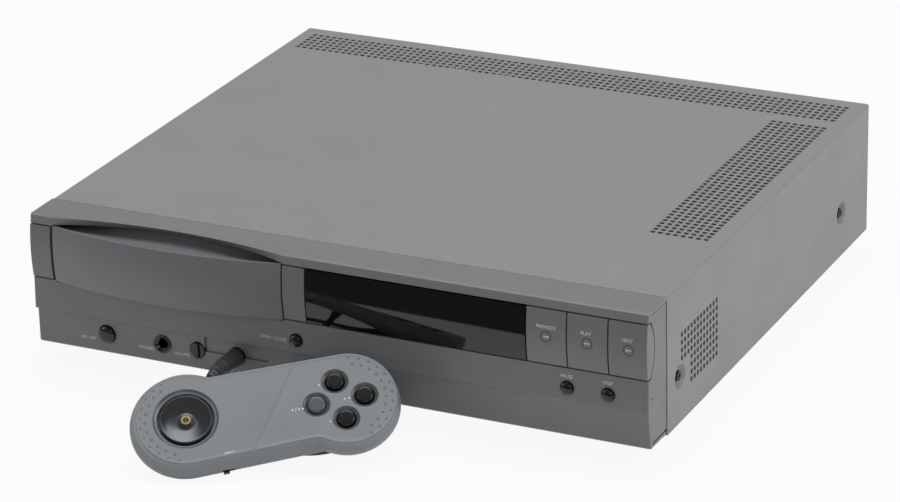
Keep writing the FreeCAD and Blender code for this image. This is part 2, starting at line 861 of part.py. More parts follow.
def lathe(points, axis_point, axis_direction):
    """Full turn of a closed outline about an axis."""
    return Part.Face(outline(points)).revolve(Vector(*axis_point), Vector(*axis_direction), 360)


def make_button(x, z, radius, face_y):
    """Domed button with a retaining flange and a stem, turned about its own axis."""
    front = face_y - button_stand
    back = face_y + fascia_skin
    flange = radius + 1.2
    points = [(x, front, z), ((x + radius * 0.62, front + 0.42, z), (x + radius, front + 1.7, z)),
              (x + radius, back + 0.3, z), (x + flange, back + 0.3, z), (x + flange, back + 1.4, z),
              (x + button_stem_radius, back + 1.4, z), (x + button_stem_radius, stem_end_y, z),
              (x, stem_end_y, z)]
    return lathe(points, (x, 0, z), (0, 1, 0))


def make_volume_knob():
    """Round knob with a finger bar across its face and a shaft into the control."""
    x, z = volume_x, lower_row_z
    front = lower_face_y - knob_stand
    body = rod(knob_radius, (x, front + knob_bar_height, z), (x, lower_face_y + 3.0, z))
    bar = box(x - knob_bar_width / 2, x + knob_bar_width / 2, front, lower_face_y + 1, z - knob_radius,
              z + knob_radius)
    bar = bar.common(rod(knob_radius - 0.1, (x, front, z), (x, lower_face_y + 2, z)))
    shaft = rod(knob_shaft_radius, (x, lower_face_y + 2, z), (x, board_y - 0.6, z))
    return join([body, bar, shaft])


def make_phones_jack():
    """Quarter-inch headphone socket with its round nut and box."""
    x, z = phones_x, lower_row_z
    half = phones_body / 2
    back = lower_face_y + phones_depth
    front = lower_face_y - phones_ring_stand
    ring = rod(phones_ring_radius, (x, front, z), (x, wall_front_y, z))
    case = box(x - half, x + half, lower_face_y + fascia_skin, back, z - half, z + half)
    mouth = taper(phones_cone_radius, phones_bore_radius, (x, front, z), (x, front + phones_cone_depth, z))
    return ring.fuse(case).cut(mouth).cut(rod(phones_bore_radius, (x, -5, z), (x, back + 1, z)))


def make_controller_port():
    """Round front socket with its block."""
    x, z = port_x, lower_row_z
    half = phones_body / 2
    ring = rod(port_radius - 0.15, (x, lower_face_y + 0.2, z), (x, wall_front_y, z))
    case = box(x - half, x + half, lower_face_y + fascia_skin, board_y, z - half, z + half)
    return ring.fuse(case).removeSplitter()


def make_front_board():
    """Circuit board behind the front, in two heights, with a notch for the headphone socket."""
    x0, x1 = -half_width + 7, half_width - 5
    step_x = mid_block_right + 2
    notch_x0, notch_x1 = phones_x - board_notch_half, phones_x + board_notch_half
    points = [(x0, board_y, board_low_z), (notch_x0, board_y, board_low_z),
              (notch_x0, board_y, board_notch_z),
              (notch_x1, board_y, board_notch_z), (notch_x1, board_y, board_low_z),
              (x1, board_y, board_low_z),
              (x1, board_y, board_high_z), (step_x, board_y, board_high_z), (step_x, board_y, board_step_z),
              (x0, board_y, board_step_z)]
    return prism(points, (0, board_skin, 0))


def make_front_controls():
    """Small switches, power switch and volume control, soldered to the front board."""
    places = [(x, key_z) for x in key_centres]
    places += [(x, upper_row_z) for x in (open_button_x, pause_button_x, stop_button_x)]
    half = switch_size / 2
    solids = []
    for x, z in places:
        case = box(x - half, x + half, board_y - switch_height + 0.6, board_y, z - half, z + half)
        solids.append(case.fuse(rod(1.6, (x, board_y - switch_height, z), (x, board_y, z))))
    x, z = power_button_x, lower_row_z
    case = box(x - 6, x + 6, board_y - switch_height + 0.6, board_y, z - 6, z + 6)
    solids.append(case.fuse(rod(2.5, (x, board_y - switch_height, z), (x, board_y, z))))
    pot = rod(6.5, (volume_x, wall_back_y + 0.5, lower_row_z), (volume_x, board_y, lower_row_z))
    solids.append(pot.cut(rod(knob_shaft_radius + running, (volume_x, 0, lower_row_z),
                              (volume_x, board_y - 0.3, lower_row_z))))
    return Part.makeCompound(solids)


def make_display_tube():
    """Flat glass display tube on the front board."""
    centre = (mid_block_right + display_right) / 2
    tube = box(centre - 58, centre + 58, board_y - 5.2, board_y, 61, 86)
    return tube.makeFillet(1.0, tube.Edges)


drawer_x0 = drawer_left + line_gap
drawer_x1 = drawer_right - line_gap
drawer_half = drawer_opening_width / 2 - line_gap
drawer_curve = (drawer_half ** 2 + drawer_bulge ** 2) / (2 * drawer_bulge)
drawer_axis_y = drawer_edge_y - drawer_bulge + drawer_curve
drawer_z0 = band_bottom_z + line_gap - drawer_extra_height
drawer_z1 = band_top_z - visor_gap + drawer_extra_height
drawer_sweep = 16.0


def drawer_block(inset, z0, z1, back, side_inset):
    """Solid with a doubly curved front and a flat back; inset shrinks it for the hollow."""
    x, z = drawer_centre_x, (z0 + z1) / 2
    edge = drawer_axis_y - drawer_curve + inset
    section = [(x, edge, z0), ((x, edge - band_bulge, z), (x, edge, z1)), (x, back, z1), (x, back, z0)]
    face = Part.Face(outline(section))
    face.rotate(Vector(x, drawer_axis_y, 0), Vector(0, 0, 1), -drawer_sweep)
    body = face.revolve(Vector(x, drawer_axis_y, 0), Vector(0, 0, 1), 2 * drawer_sweep)
    return body.common(box(drawer_x0 + side_inset, drawer_x1 - side_inset, -40, back, z0, z1))


def make_drawer_front():
    """Bowed drawer front: curved skin, dished ledge behind its top edge, open at the back."""
    back = drawer_axis_y - drawer_curve + 45
    block = drawer_block(0.0, drawer_z0, drawer_z1, back, 0.0)
    inner = drawer_block(drawer_skin, drawer_z0 + 2, drawer_z1 - ledge_skin, back, 2.0)
    shell = block.common(box(drawer_x0, drawer_x1, -40, tray_front_y, 0, top_z)).cut(inner)
    shell = shell.fuse(box(drawer_x0 + 2, drawer_x1 - 2, 0, ledge_depth, drawer_z1 - ledge_skin, drawer_z1))
    x = drawer_centre_x
    rim = drawer_axis_y - drawer_curve + 1.2
    deep = drawer_z1 - ledge_dish
    reach = ledge_depth - rim - 0.6
    dish = [(x, rim, drawer_z1 + 1), (x, rim, drawer_z1),
            ((x, rim + reach / 2, deep), (x, rim + reach, drawer_z1)),
            (x, rim + reach, drawer_z1 + 1)]
    face = Part.Face(outline(dish))
    face.rotate(Vector(x, drawer_axis_y, 0), Vector(0, 0, 1), -drawer_sweep)
    shell = shell.cut(face.revolve(Vector(x, drawer_axis_y, 0), Vector(0, 0, 1), 2 * drawer_sweep))
    return shell.removeSplitter()


rail_outer = tray_width / 2 + tray_rail_width
tray_rail_z = tray_floor_z + 1.0
gear_x = drawer_centre_x + rack_offset - pinion_teeth * rack_module / 2 - mesh_slack
second_x = gear_x - (wheel_teeth + small_pinion_teeth) * wheel_module / 2 - mesh_slack
motor_x = drawer_centre_x + motor_offset


def rack_teeth(x_pitch, y0, y1, z0, z1):
    """Straight rack facing -X, with one tooth space in line with the pinion."""
    pitch = math.pi * rack_module
    tip = x_pitch - 0.9 * rack_module
    root = x_pitch + 1.1 * rack_module
    half = pitch / 4 - 0.12
    lean = math.tan(math.radians(20)) * rack_module
    back = root + 4.0
    points = [(back, y0, z0), (root, y0, z0)]
    count = int((y1 - y0) / pitch)
    first = math.ceil((y0 + half + lean - gear_y) / pitch - 0.5)
    for index in range(first, first + count):
        middle = gear_y + (index + 0.5) * pitch
        if middle + half + lean > y1:
            break
        for x, offset in ((root, -half - lean), (tip, -half + lean), (tip, half - lean), (root, half + lean)):
            points.append((x, middle + offset, z0))
    points += [(root, y1, z0), (back, y1, z0)]
    return prism(points, (0, 0, z1 - z0))


def make_disc_tray():
    """Tray with a stepped disc well, a slot for spindle and lens, side rails and a rack."""
    x, y = drawer_centre_x, disc_centre_y
    half = tray_width / 2
    carrier_half = drawer_half - 1.2
    parts = [box(x - half, x + half, tray_front_y, tray_back_y, tray_floor_z, tray_rim_z),
             box(x - rail_outer, x + rail_outer, tray_front_y, tray_back_y, tray_rail_z,
                 tray_rail_z + tray_rail_height),
             box(x - carrier_half, x + carrier_half, tray_front_y, tray_front_y + carrier_skin,
                 drawer_z0 + 0.5, drawer_z1 - ledge_skin),
             rack_teeth(x + rack_offset, gear_y - 10, tray_back_y - 2, pinion_z - 0.3, tray_floor_z)]
    tray = join(parts)
    cuts = [rod(disc_pocket_radius, (x, y, tray_floor_z + pocket_floor), (x, y, tray_rim_z + 1)),
            rod(small_disc_radius, (x, y, tray_floor_z + small_pocket_floor), (x, y, tray_rim_z + 1)),
            box(x - tray_slot_half, x + tray_slot_half, y - tray_slot_front, y + tray_slot_back,
                tray_floor_z - 1, tray_rim_z + 1),
            box(x - puck_pad_radius - 2, x + puck_pad_radius + 2, y, tray_back_y + 1, puck_bottom_z - 0.6,
                tray_rim_z + 1)]
    for side in (-1, 1):
        a, b = sorted((x + side * (half - 9), x + side * (half + 1)))
        cuts.append(box(a, b, y - 13, y + 13, tray_floor_z + pocket_floor + 1.5, tray_rim_z + 1))
    return tray.cut(Part.makeCompound(cuts))


def make_drive_chassis():
    """Loader frame: plate with window, tray guides, legs, pivot ears and gear posts."""
    x = drawer_centre_x
    half = loader_half_width
    z1 = deck_z + deck_skin
    parts = [box(x - half, x + half, loader_front_y, loader_back_y, deck_z, z1)]
    for side in (-1, 1):
        for y in (loader_front_y + 8, loader_back_y - 8):
            parts.append(rod(4.0, (x + side * (half - 7), y, pan_top_z), (x + side * (half - 7), y, deck_z)))
        inner, outer = guide_inner, guide_inner + guide_skin
        a, b = sorted((x + side * inner, x + side * outer))
        parts.append(box(a, b, loader_front_y, loader_back_y, z1 - 1, tray_rim_z + 3))
        a, b = sorted((x + side * (tray_width / 2 + 1), x + side * outer))
        parts.append(box(a, b, loader_front_y, loader_back_y, tray_rail_z - 2.5, tray_rail_z - 0.3))
        for y in (loader_front_y + 4, loader_back_y - 28):
            parts.append(box(a, b, y, y + 22, tray_rail_z + tray_rail_height + 0.3,
                             tray_rail_z + tray_rail_height + 2.3))
        a, b = sorted((x + side * (window_half + 0.5), x + side * (window_half + 4)))
        parts.append(box(a, b, lift_pivot_y - 5, lift_pivot_y + 5, z1 - 1, lift_z + 5))
    parts.append(rod(post_radius, (gear_x, gear_y, deck_z), (gear_x, gear_y, pinion_z + pinion_thick - 0.4)))
    parts.append(rod(post_radius, (second_x, gear_y, deck_z),
                     (second_x, gear_y, wheel_z + wheel_thick + 0.6)))
    frame = join(parts)
    pivot_z = lift_z + lift_skin / 2
    cuts = [box(x - window_half, x + window_half, window_front_y, window_back_y, deck_z - 1, z1 + 1),
            rod(motor_shaft_radius + 1.2, (motor_x, gear_y, deck_z - 1), (motor_x, gear_y, z1 + 1)),
            rod(lift_pin_radius + running, (x - window_half - 6, lift_pivot_y, pivot_z),
                (x + window_half + 6, lift_pivot_y, pivot_z))]
    return frame.cut(Part.makeCompound(cuts))


def make_tray_gear():
    """Double gear: a pinion under the tray's rack and a wheel below it."""
    pinion = gear(pinion_teeth, rack_module, 0, pinion_z, pinion_thick, (gear_x, gear_y), 0.0)
    wheel = gear(wheel_teeth, wheel_module, 0, wheel_z, wheel_thick, (gear_x, gear_y), 0.0)
    hub = rod(4.5, (gear_x, gear_y, deck_z + deck_skin + 0.3), (gear_x, gear_y, pinion_z + 0.5))
    bore = rod(post_radius + running, (gear_x, gear_y, deck_z), (gear_x, gear_y, pinion_z + pinion_thick + 1))
    return join([pinion, wheel, hub]).cut(bore)


def make_pulley_gear():
    """Belt pulley with a small pinion that drives the wheel."""
    phase = 180.0 / small_pinion_teeth
    pinion = gear(small_pinion_teeth, wheel_module, 0, wheel_z, wheel_thick, (second_x, gear_y), phase)
    low, high = pulley_z, pulley_z + pulley_thick
    pulley = pulley_body(second_x, belt_pulley_radius, low, high)
    hub = rod(4.0, (second_x, gear_y, deck_z + deck_skin + 0.3), (second_x, gear_y, wheel_z + 1))
    bore = rod(post_radius + running, (second_x, gear_y, deck_z),
               (second_x, gear_y, wheel_z + wheel_thick + 1))
    return join([pinion, pulley, hub]).cut(bore)


def pulley_body(x, radius, low, high):
    """Grooved pulley disc about Z."""
    disc = rod(radius + pulley_flange, (x, gear_y, low), (x, gear_y, high))
    middle = (low + high) / 2
    half = belt_size / 2 + 0.2
    groove = rod(radius + pulley_flange + 1, (x, gear_y, middle - half), (x, gear_y, middle + half))
    groove = groove.cut(rod(radius, (x, gear_y, middle - half), (x, gear_y, middle + half)))
    return disc.cut(groove)


def make_motor_pulley():
    """Small grooved pulley with the motor's shaft."""
    shaft = rod(motor_shaft_radius, (motor_x, gear_y, deck_z - motor_length / 2),
                (motor_x, gear_y, pulley_z + 1))
    return pulley_body(motor_x, motor_pulley_radius, pulley_z,
                       pulley_z + pulley_thick).fuse(shaft).removeSplitter()


def make_loading_motor():
    """Can motor with two flats, screwed up under the plate."""
    can = rod(motor_radius, (motor_x, gear_y, deck_z - motor_length), (motor_x, gear_y, deck_z))
    can = can.common(box(motor_x - 20, motor_x + 20, gear_y - motor_radius + 2, gear_y + motor_radius - 2,
                         0, 99))
    bore = rod(motor_shaft_radius + running, (motor_x, gear_y, deck_z - motor_length / 2 - 0.2),
               (motor_x, gear_y, deck_z + 1))
    return can.cut(bore)


def belt_wire(grow, z):
    """Loop round both pulleys: two straight runs and two arcs."""
    big = belt_pulley_radius + running + grow
    small = motor_pulley_radius + running + grow
    length = second_x - motor_x
    lean = math.asin((big - small) / length)
    cos_l, sin_l = math.cos(lean), math.sin(lean)
    upper_big = (second_x - big * sin_l, gear_y + big * cos_l, z)
    lower_big = (second_x - big * sin_l, gear_y - big * cos_l, z)
    upper_small = (motor_x - small * sin_l, gear_y + small * cos_l, z)
    lower_small = (motor_x - small * sin_l, gear_y - small * cos_l, z)
    return outline([upper_big, ((second_x + big, gear_y, z), lower_big), lower_small,
                    ((motor_x - small, gear_y, z), upper_small)])


def make_drive_belt():
    """Square rubber belt in the two grooves."""
    z = pulley_z + pulley_thick / 2 - belt_size / 2
    return Part.Face([belt_wire(belt_size, z), belt_wire(0.0, z)]).extrude(Vector(0, 0, belt_size))


def make_traverse_deck():
    """Lifting deck: plate, rail posts and two pivot pins at its back."""
    x = drawer_centre_x
    z1 = lift_z + lift_skin
    parts = [box(x - lift_half, x + lift_half, lift_front_y, lift_back_y, lift_z, z1)]
    for side in (-1, 1):
        for y in (rail_front_y, rail_back_y - rail_post):
            parts.append(box(x + side * rail_offset - 3, x + side * rail_offset + 3, y, y + rail_post,
                             z1 - 0.5, rail_z + 3))
        parts.append(rod(lift_pin_radius, (x + side * (lift_half - 1), lift_pivot_y, lift_z + lift_skin / 2),
                         (x + side * (window_half + 4), lift_pivot_y, lift_z + lift_skin / 2)))
    deck = join(parts)
    cuts = [rod(3.0, (x, disc_centre_y, lift_z - 1), (x, disc_centre_y, z1 + 1)),
            box(x - 14, x + 14, rail_front_y + 8, rail_back_y - 8, lift_z - 1, z1 + 1)]
    for side in (-1, 1):
        cuts.append(rod(rail_radius, (x + side * rail_offset, rail_front_y, rail_z),
                        (x + side * rail_offset, rail_back_y, rail_z)))
    return deck.cut(Part.makeCompound(cuts))


def make_sled_rails():
    """Two ground steel rods for the sled."""
    rods = []
    for side in (-1, 1):
        x = drawer_centre_x + side * rail_offset
        rods.append(rod(rail_radius, (x, rail_front_y, rail_z), (x, rail_back_y, rail_z)))
    return Part.makeCompound(rods)


def make_spindle_motor():
    """Flat motor under the deck with a bore for the spindle."""
    x, y = drawer_centre_x, disc_centre_y
    body = rod(spindle_motor_radius, (x, y, lift_z - spindle_motor_height), (x, y, lift_z))
    collar = rod(2.9, (x, y, lift_z), (x, y, lift_z + lift_skin))
    return body.fuse(collar).cut(rod(spindle_radius + running, (x, y, lift_z - spindle_motor_height + 2),
                                     (x, y, 60)))


def make_turntable():
    """Turntable with centring cone and spindle."""
    x, y = drawer_centre_x, disc_centre_y
    top = turntable_z + turntable_thick
    plate = rod(turntable_radius, (x, y, turntable_z), (x, y, top))
    cone = taper(turntable_cone_radius, turntable_cone_radius - 2.2, (x, y, top), (x, y, turntable_top_z))
    shaft = rod(spindle_radius, (x, y, lift_z - spindle_motor_height + 2.3), (x, y, turntable_z))
    boss = rod(4.0, (x, y, turntable_z - 4), (x, y, turntable_z))
    return join([plate, cone, shaft, boss])


def make_laser_sled():
    """Sled that slides on both rails and carries the lens housing."""
    x = drawer_centre_x
    y0, y1 = sled_front_y, sled_front_y + sled_length
    half = rail_offset + 3.5
    body = box(x - half, x + half, y0, y1, rail_z - sled_half_height, rail_z + sled_half_height)
    housing = rod(7.0, (x, lens_y, rail_z), (x, lens_y, lens_seat_z + 1.5))
    bores = [rod(rail_radius + running, (x + side * rail_offset, y0 - 1, rail_z),
                 (x + side * rail_offset, y1 + 1, rail_z))
             for side in (-1, 1)]
    well = rod(lens_radius, (x, lens_y, lens_seat_z), (x, lens_y, lens_seat_z + 3))
    return body.fuse(housing).cut(Part.makeCompound(bores)).cut(well)


def make_pickup_lens():
    """Small glass lens in the sled's housing."""
    x, y, z = drawer_centre_x, lens_y, lens_seat_z
    curve = (lens_radius ** 2 + lens_crown ** 2) / (2 * lens_crown)
    top = z + lens_edge + lens_crown
    middle = top - curve + math.sqrt(curve ** 2 - lens_radius ** 2 / 4)
    points = [(x, y, z), (x + lens_radius, y, z), (x + lens_radius, y, z + lens_edge),
              ((x + lens_radius / 2, y, middle), (x, y, top))]
    return lathe(points, (x, y, 0), (0, 0, 1))


def make_clamp_bridge():
    """Bridge across the tray that carries the disc clamp."""
    x, y = drawer_centre_x, disc_centre_y
    half = loader_half_width
    foot = deck_z + deck_skin
    parts = [box(x - half, x + half, y - bridge_half_depth, y + bridge_half_depth, bridge_z,
                 bridge_z + bridge_skin)]
    for side in (-1, 1):
        a, b = sorted((x + side * half, x + side * (half - 4)))
        parts.append(box(a, b, y - bridge_half_depth, y + bridge_half_depth, foot, bridge_z + 0.5))
    parts.append(rod(puck_flange_radius + 4, (x, y, bridge_z), (x, y, bridge_z + bridge_skin)))
    hole = rod(puck_hole_radius, (x, y, bridge_z - 1), (x, y, bridge_z + bridge_skin + 1))
    return join(parts).cut(hole)


def make_clamp_puck():
    """Clamp puck that hangs in the bridge by its upper flange."""
    x, y = drawer_centre_x, disc_centre_y
    rest = bridge_z + bridge_skin + 0.3
    pad = rod(puck_pad_radius, (x, y, puck_bottom_z), (x, y, puck_bottom_z + puck_plate))
    neck = rod(puck_neck_radius, (x, y, puck_bottom_z), (x, y, rest + puck_plate))
    flange = rod(puck_flange_radius, (x, y, rest), (x, y, rest + puck_plate))
    well = rod(puck_neck_radius - 2.5, (x, y, puck_bottom_z - 1), (x, y, puck_bottom_z + 3.5))
    return join([pad, neck, flange]).cut(well)


def circuit(x0, x1, y0, y1, holes):
    """Flat circuit board with screw holes over its standoffs."""
    board = box(x0, x1, y0, y1, board_z, board_z + circuit_skin)
    return board.cut(Part.makeCompound([rod(1.6, (x, y, board_z - 1), (x, y, board_z + 3)) for x,
                                        y in holes]))


chip_places = [(20, 90, 28, 28), (70, 95, 28, 28), (130, 85, 22, 22), (30, 160, 36, 14), (30, 185, 36, 14),
               (95, 165, 28, 28), (150, 170, 20, 36), (60, 250, 14, 30), (100, 255, 14, 30),
               (150, 260, 26, 26)]
can_places = [(-95, 240, 9, 30), (-95, 265, 9, 30), (-75, 235, 6, 20), (-75, 255, 6, 20), (-75, 275, 6, 20)]


def make_board_components():
    """Chips, capacitors and the finned heat sink, each a solid of its own."""
    top = board_z + circuit_skin
    solids = []
    for x, y, w, d in chip_places:
        solids.append(box(x - w / 2, x + w / 2, y - d / 2, y + d / 2, top, top + 3.2))
    for x, y, radius, height in can_places:
        solids.append(rod(radius, (x, y, top), (x, y, top + height)))
    fins = [box(-190, -130, 225, 228, top, top + 40)]
    for index in range(8):
        x = -188.0 + index * 8
        fins.append(box(x, x + 1.6, 227, 240, top, top + 40))
    solids.append(join(fins))
    return Part.makeCompound(solids)


def make_transformer():
    """Mains transformer: laminated core with a window, round a wound bobbin."""
    x0 = supply_left + 12
    y0 = main_board_back - 20 - core_depth
    z0 = board_z + circuit_skin
    core = box(x0, x0 + core_length, y0 + 8, y0 + core_depth - 8, z0, z0 + core_height)
    bobbin = box(x0 + 9, x0 + core_length - 9, y0, y0 + core_depth, z0 + 8, z0 + core_height - 8)
    return core.fuse(bobbin).removeSplitter()


# Hand pad. u runs from the thumb disc to the buttons, v up the face, w out of the face.
def pad_placement():
    """Placement that leans the pad back and turns it to the viewer."""
    azimuth, elevation, roll = (math.radians(a) for a in (pad_azimuth, pad_elevation, pad_roll))
    normal = Vector(math.sin(azimuth) * math.cos(elevation), -math.cos(azimuth) * math.cos(elevation),
                    math.sin(elevation))
    level = Vector(math.cos(azimuth), math.sin(azimuth), 0)
    rise = normal.cross(level)
    u = level * math.cos(roll) + rise * math.sin(roll)
    v = rise * math.cos(roll) - level * math.sin(roll)
    matrix = FreeCAD.Matrix(u.x, v.x, normal.x, pad_x, u.y, v.y, normal.y, pad_y, u.z, v.z, normal.z, pad_z,
                            0, 0, 0, 1)
    return FreeCAD.Placement(matrix)


def notch(centre, centre_radius, lobe, lobe_radius, slope, side, fillet):
    """Fillet circle that touches a sloped edge line of one lobe and the other lobe from outside.

    Returns the touching points on the line and the other lobe, and the fillet's middle point.
    """
    angle = math.radians(slope)
    along = (math.cos(angle), math.sin(angle))
    normal = (-along[1] * side, along[0] * side)
    base = (normal[0] * (lobe_radius + fillet), normal[1] * (lobe_radius + fillet))
    origin = (lobe[0] + base[0], lobe[1] + base[1])
    reach = centre_radius + fillet
    dx, dy = origin[0] - centre[0], origin[1] - centre[1]
    b = dx * along[0] + dy * along[1]
    c = dx * dx + dy * dy - reach * reach
    root = math.sqrt(b * b - c)
    t = -b - root if along[0] * (centre[0] - lobe[0]) > 0 else -b + root
    middle = (origin[0] + along[0] * t, origin[1] + along[1] * t)
    on_line = (middle[0] - normal[0] * fillet, middle[1] - normal[1] * fillet)
    length = math.hypot(middle[0] - centre[0], middle[1] - centre[1])
    toward = ((centre[0] - middle[0]) / length, (centre[1] - middle[1]) / length)
    on_lobe = (middle[0] + toward[0] * fillet, middle[1] + toward[1] * fillet)
    mean = (toward[0] - normal[0], toward[1] - normal[1])
    size = math.hypot(*mean)
    on_fillet = (middle[0] + mean[0] / size * fillet, middle[1] + mean[1] / size * fillet)
    return on_line, on_fillet, on_lobe


def pad_wire(offset, w, inset=0.0):
    """Pad outline grown by offset at depth w, less on the right: two lobes, two sloped edges, two notches."""
    left, right = (0.0, 0.0), (pad_spacing, 0.0)
    radius = pad_lobe_radius + offset - inset
    right_offset = offset * pad_right_flare_share if offset > 0 else offset
    right_radius = pad_lobe_radius + right_offset - inset
    fillet = pad_notch_radius - offset + inset
    low = math.radians(pad_lower_slope)
    high = math.radians(pad_upper_slope)
    low_start = (radius * math.sin(low), -radius * math.cos(low))
    high_start = (pad_spacing - right_radius * math.sin(high), right_radius * math.cos(high))
    low_line, low_mid, low_lobe = notch(right, right_radius, left, radius, pad_lower_slope, -1, fillet)
    high_line, high_mid, high_lobe = notch(left, radius, right, right_radius, pad_upper_slope, 1, fillet)
    points = [low_start, low_line, (low_mid, low_lobe), ((pad_spacing + right_radius, 0.0), high_start),
              high_line, (high_mid, high_lobe), ((-radius, 0.0), low_start)]
    lifted = []
    for step in points:
        if isinstance(step[0], tuple):
            lifted.append(tuple(p + (w,) for p in step))
        else:
            lifted.append(step + (w,))
    return outline(lifted)


def pad_stack(levels, inset=0.0):
    """Solid through pad outlines at (depth, offset) levels."""
    return Part.makeLoft([pad_wire(offset, -depth, inset) for depth, offset in levels], True, True)


top_levels = [(0.0, -1.0), (0.5, -0.3), (1.2, 0.0), (3.2, 0.6), (5.2, 1.9), (7.2, 3.3),
              (pad_seam_depth - 0.4, pad_flare), (pad_seam_depth, pad_flare - 0.4)]
low_levels = [(pad_seam_depth, pad_flare - 0.4), (pad_seam_depth + 0.4, pad_flare), (12.4, pad_flare - 0.5),
              (14.6, pad_flare - 2.1), (16.1, pad_flare - 4.6), (pad_thickness, pad_flare - 8.2)]
pad_board_depth = 12.4
pad_board_skin = 1.2
pad_post_places = ((20, 17), (24, -16), (72, 16), (104, -20))


def cavity(levels, first, last):
    """Stack one wall inside the given levels, run on to both depths."""
    inner = [(first, levels[0][1])]
    inner += [(depth, offset) for depth, offset in levels if first + 0.1 < depth < last - 0.1]
    inner.append((last, inner[-1][1]))
    return pad_stack(inner, pad_skin)


def make_pad_top_shell():
    """Upper half of the pad with the disc well and four ringed button holes."""
    shell = pad_stack(top_levels).cut(cavity(top_levels, pad_skin, pad_seam_depth + 1))
    cuts = [taper(disc_well_radius, disc_ring_radius, (0, 0, -disc_ring_depth), (0, 0, 0)),
            rod(disc_well_radius, (0, 0, -disc_well_depth), (0, 0, -disc_ring_depth + 0.01)),
            rod(disc_well_hole, (0, 0, -disc_well_depth - disc_well_skin - 1), (0, 0, 0))]
    for u, v in pad_button_places.values():
        cuts.append(taper(pad_button_hole, pad_button_ring, (u, v, -pad_ring_depth), (u, v, 0)))
        cuts.append(rod(pad_button_hole, (u, v, -6), (u, v, -pad_ring_depth + 0.01)))
    groove = box(-0.4, 0.4, -60, 60, -0.5, 1)
    groove.rotate(Vector(0, 0, 0), Vector(0, 0, 1), -29.7)
    groove.translate(Vector(pad_spacing / 2 + 3.8, 0, 0))
    cuts.append(groove)
    cup = rod(disc_well_radius + 2.0, (0, 0, -disc_well_depth - disc_well_skin), (0, 0, -1.5))
    return shell.fuse(cup).cut(Part.makeCompound(cuts))


def make_pad_bottom_shell():
    """Lower half with the ball post, board posts and the speed slot."""
    floor = pad_thickness - pad_skin
    shell = pad_stack(low_levels).cut(cavity(low_levels, pad_seam_depth - 1, floor))
    posts = [rod(3.5, (0, 0, -floor - 0.5), (0, 0, -ball_depth + 0.4))]
    for u, v in pad_post_places:
        posts.append(rod(2.5, (u, v, -floor - 0.5), (u, v, -pad_board_depth)))
    shell = join([shell] + posts)
    ball = Part.makeSphere(ball_radius + 0.3, Vector(0, 0, -ball_depth))
    slot = speed_box(speed_slot_length / 2, -2.0, 8.0, -pad_seam_depth - speed_slot_height,
                     -pad_seam_depth + 1)
    relief = rod(2.6, (pad_relief_u, pad_relief_v, -pad_thickness - 1),
                 (pad_relief_u, pad_relief_v, -floor + 1))
    return shell.cut(ball).cut(slot).cut(relief)


def speed_box(half_length, depth0, depth1, w0, w1, shift=0.0):
    """Block set into the pad's lower side, in line with that side's slope."""
    edge = pad_lobe_radius + pad_flare
    slope = math.radians(pad_lower_slope)
    along = (speed_slot_u - edge * math.sin(slope)) / math.cos(slope) + shift
    block = box(along - half_length, along + half_length, -edge + depth0, -edge + depth1, w0, w1)
    block.rotate(Vector(0, 0, 0), Vector(0, 0, 1), pad_lower_slope)
    return block


def make_pad_speed_switch():
    """Slide switch: a knob outside, a plate inside the wall."""
    low, high = -pad_seam_depth - speed_slot_height + 0.35, -pad_seam_depth - 0.35
    shift = -speed_travel / 2
    knob = speed_box(speed_knob_length / 2, -1.2, 4.2, low, high, shift)
    plate = speed_box(speed_knob_length / 2 + 2.2, 3.6, 5.0, low - 0.1, high + 0.1, shift)
    return knob.fuse(plate).removeSplitter()


def make_pad_disc():
    """Glossy dished thumb disc with a socket for the ball under it."""
    r, t = thumb_disc_radius, thumb_disc_thick
    top = -0.5
    points = [(0, 0, top - thumb_disc_dish),
              ((r * 0.5, 0, top - thumb_disc_dish * 0.78), (r - 1.2, 0, top - 0.2)),
              ((r - 0.35, 0, top - 0.05), (r, 0, top - 0.7)), (r, 0, top - t), (4.6, 0, top - t - 0.6),
              (4.6, 0, -ball_depth + ball_radius - 1.2), (0, 0, -ball_depth + ball_radius - 1.2)]
    disc = lathe(points, (0, 0, 0), (0, 0, 1))
    disc = disc.cut(Part.makeSphere(ball_radius + 0.3, Vector(0, 0, -ball_depth)))
    seat = insert_seat()
    return disc.fuse(rod(insert_radius + 1.3, (0, 0, top - 3.4),
                         (0, 0, top - thumb_disc_dish + 0.9))).cut(seat).removeSplitter()


def insert_seat():
    """Hole for the brass insert."""
    top = -0.5 - thumb_disc_dish + 0.9
    return rod(insert_radius, (0, 0, top - 3.2), (0, 0, top + 2))


def make_pad_disc_insert():
    """Brass threaded bush in the middle of the disc."""
    top = -0.5 - thumb_disc_dish + 0.9
    bush = rod(insert_radius, (0, 0, top - 3.2), (0, 0, top + 0.5))
    return bush.cut(rod(insert_bore_radius, (0, 0, top - 3.0), (0, 0, top + 1)))


def make_pad_pivot_ball():
    """Ball between the pad's post and the disc."""
    return Part.makeSphere(ball_radius, Vector(0, 0, -ball_depth))


def make_pad_button(place):
    """Round cap with a low crown and a flange under the shell."""
    u, v = place
    r, high = pad_button_radius, pad_button_stand
    low = -pad_board_depth + pad_button_travel + 2.2
    points = [(u, v, high), ((u + r * 0.5, v, high - 0.1), (u + r - 0.8, v, high - 0.35)),
              ((u + r - 0.2, v, high - 0.65), (u + r, v, high - 1.2)), (u + r, v, -pad_skin - 0.3),
              (u + r + 1.6, v, -pad_skin - 0.3), (u + r + 1.6, v, -pad_skin - 1.5),
              (u + r - 1, v, -pad_skin - 1.5),
              (u + r - 1, v, low), (u, v, low)]
    return lathe(points, (u, v, 0), (0, 0, 1))


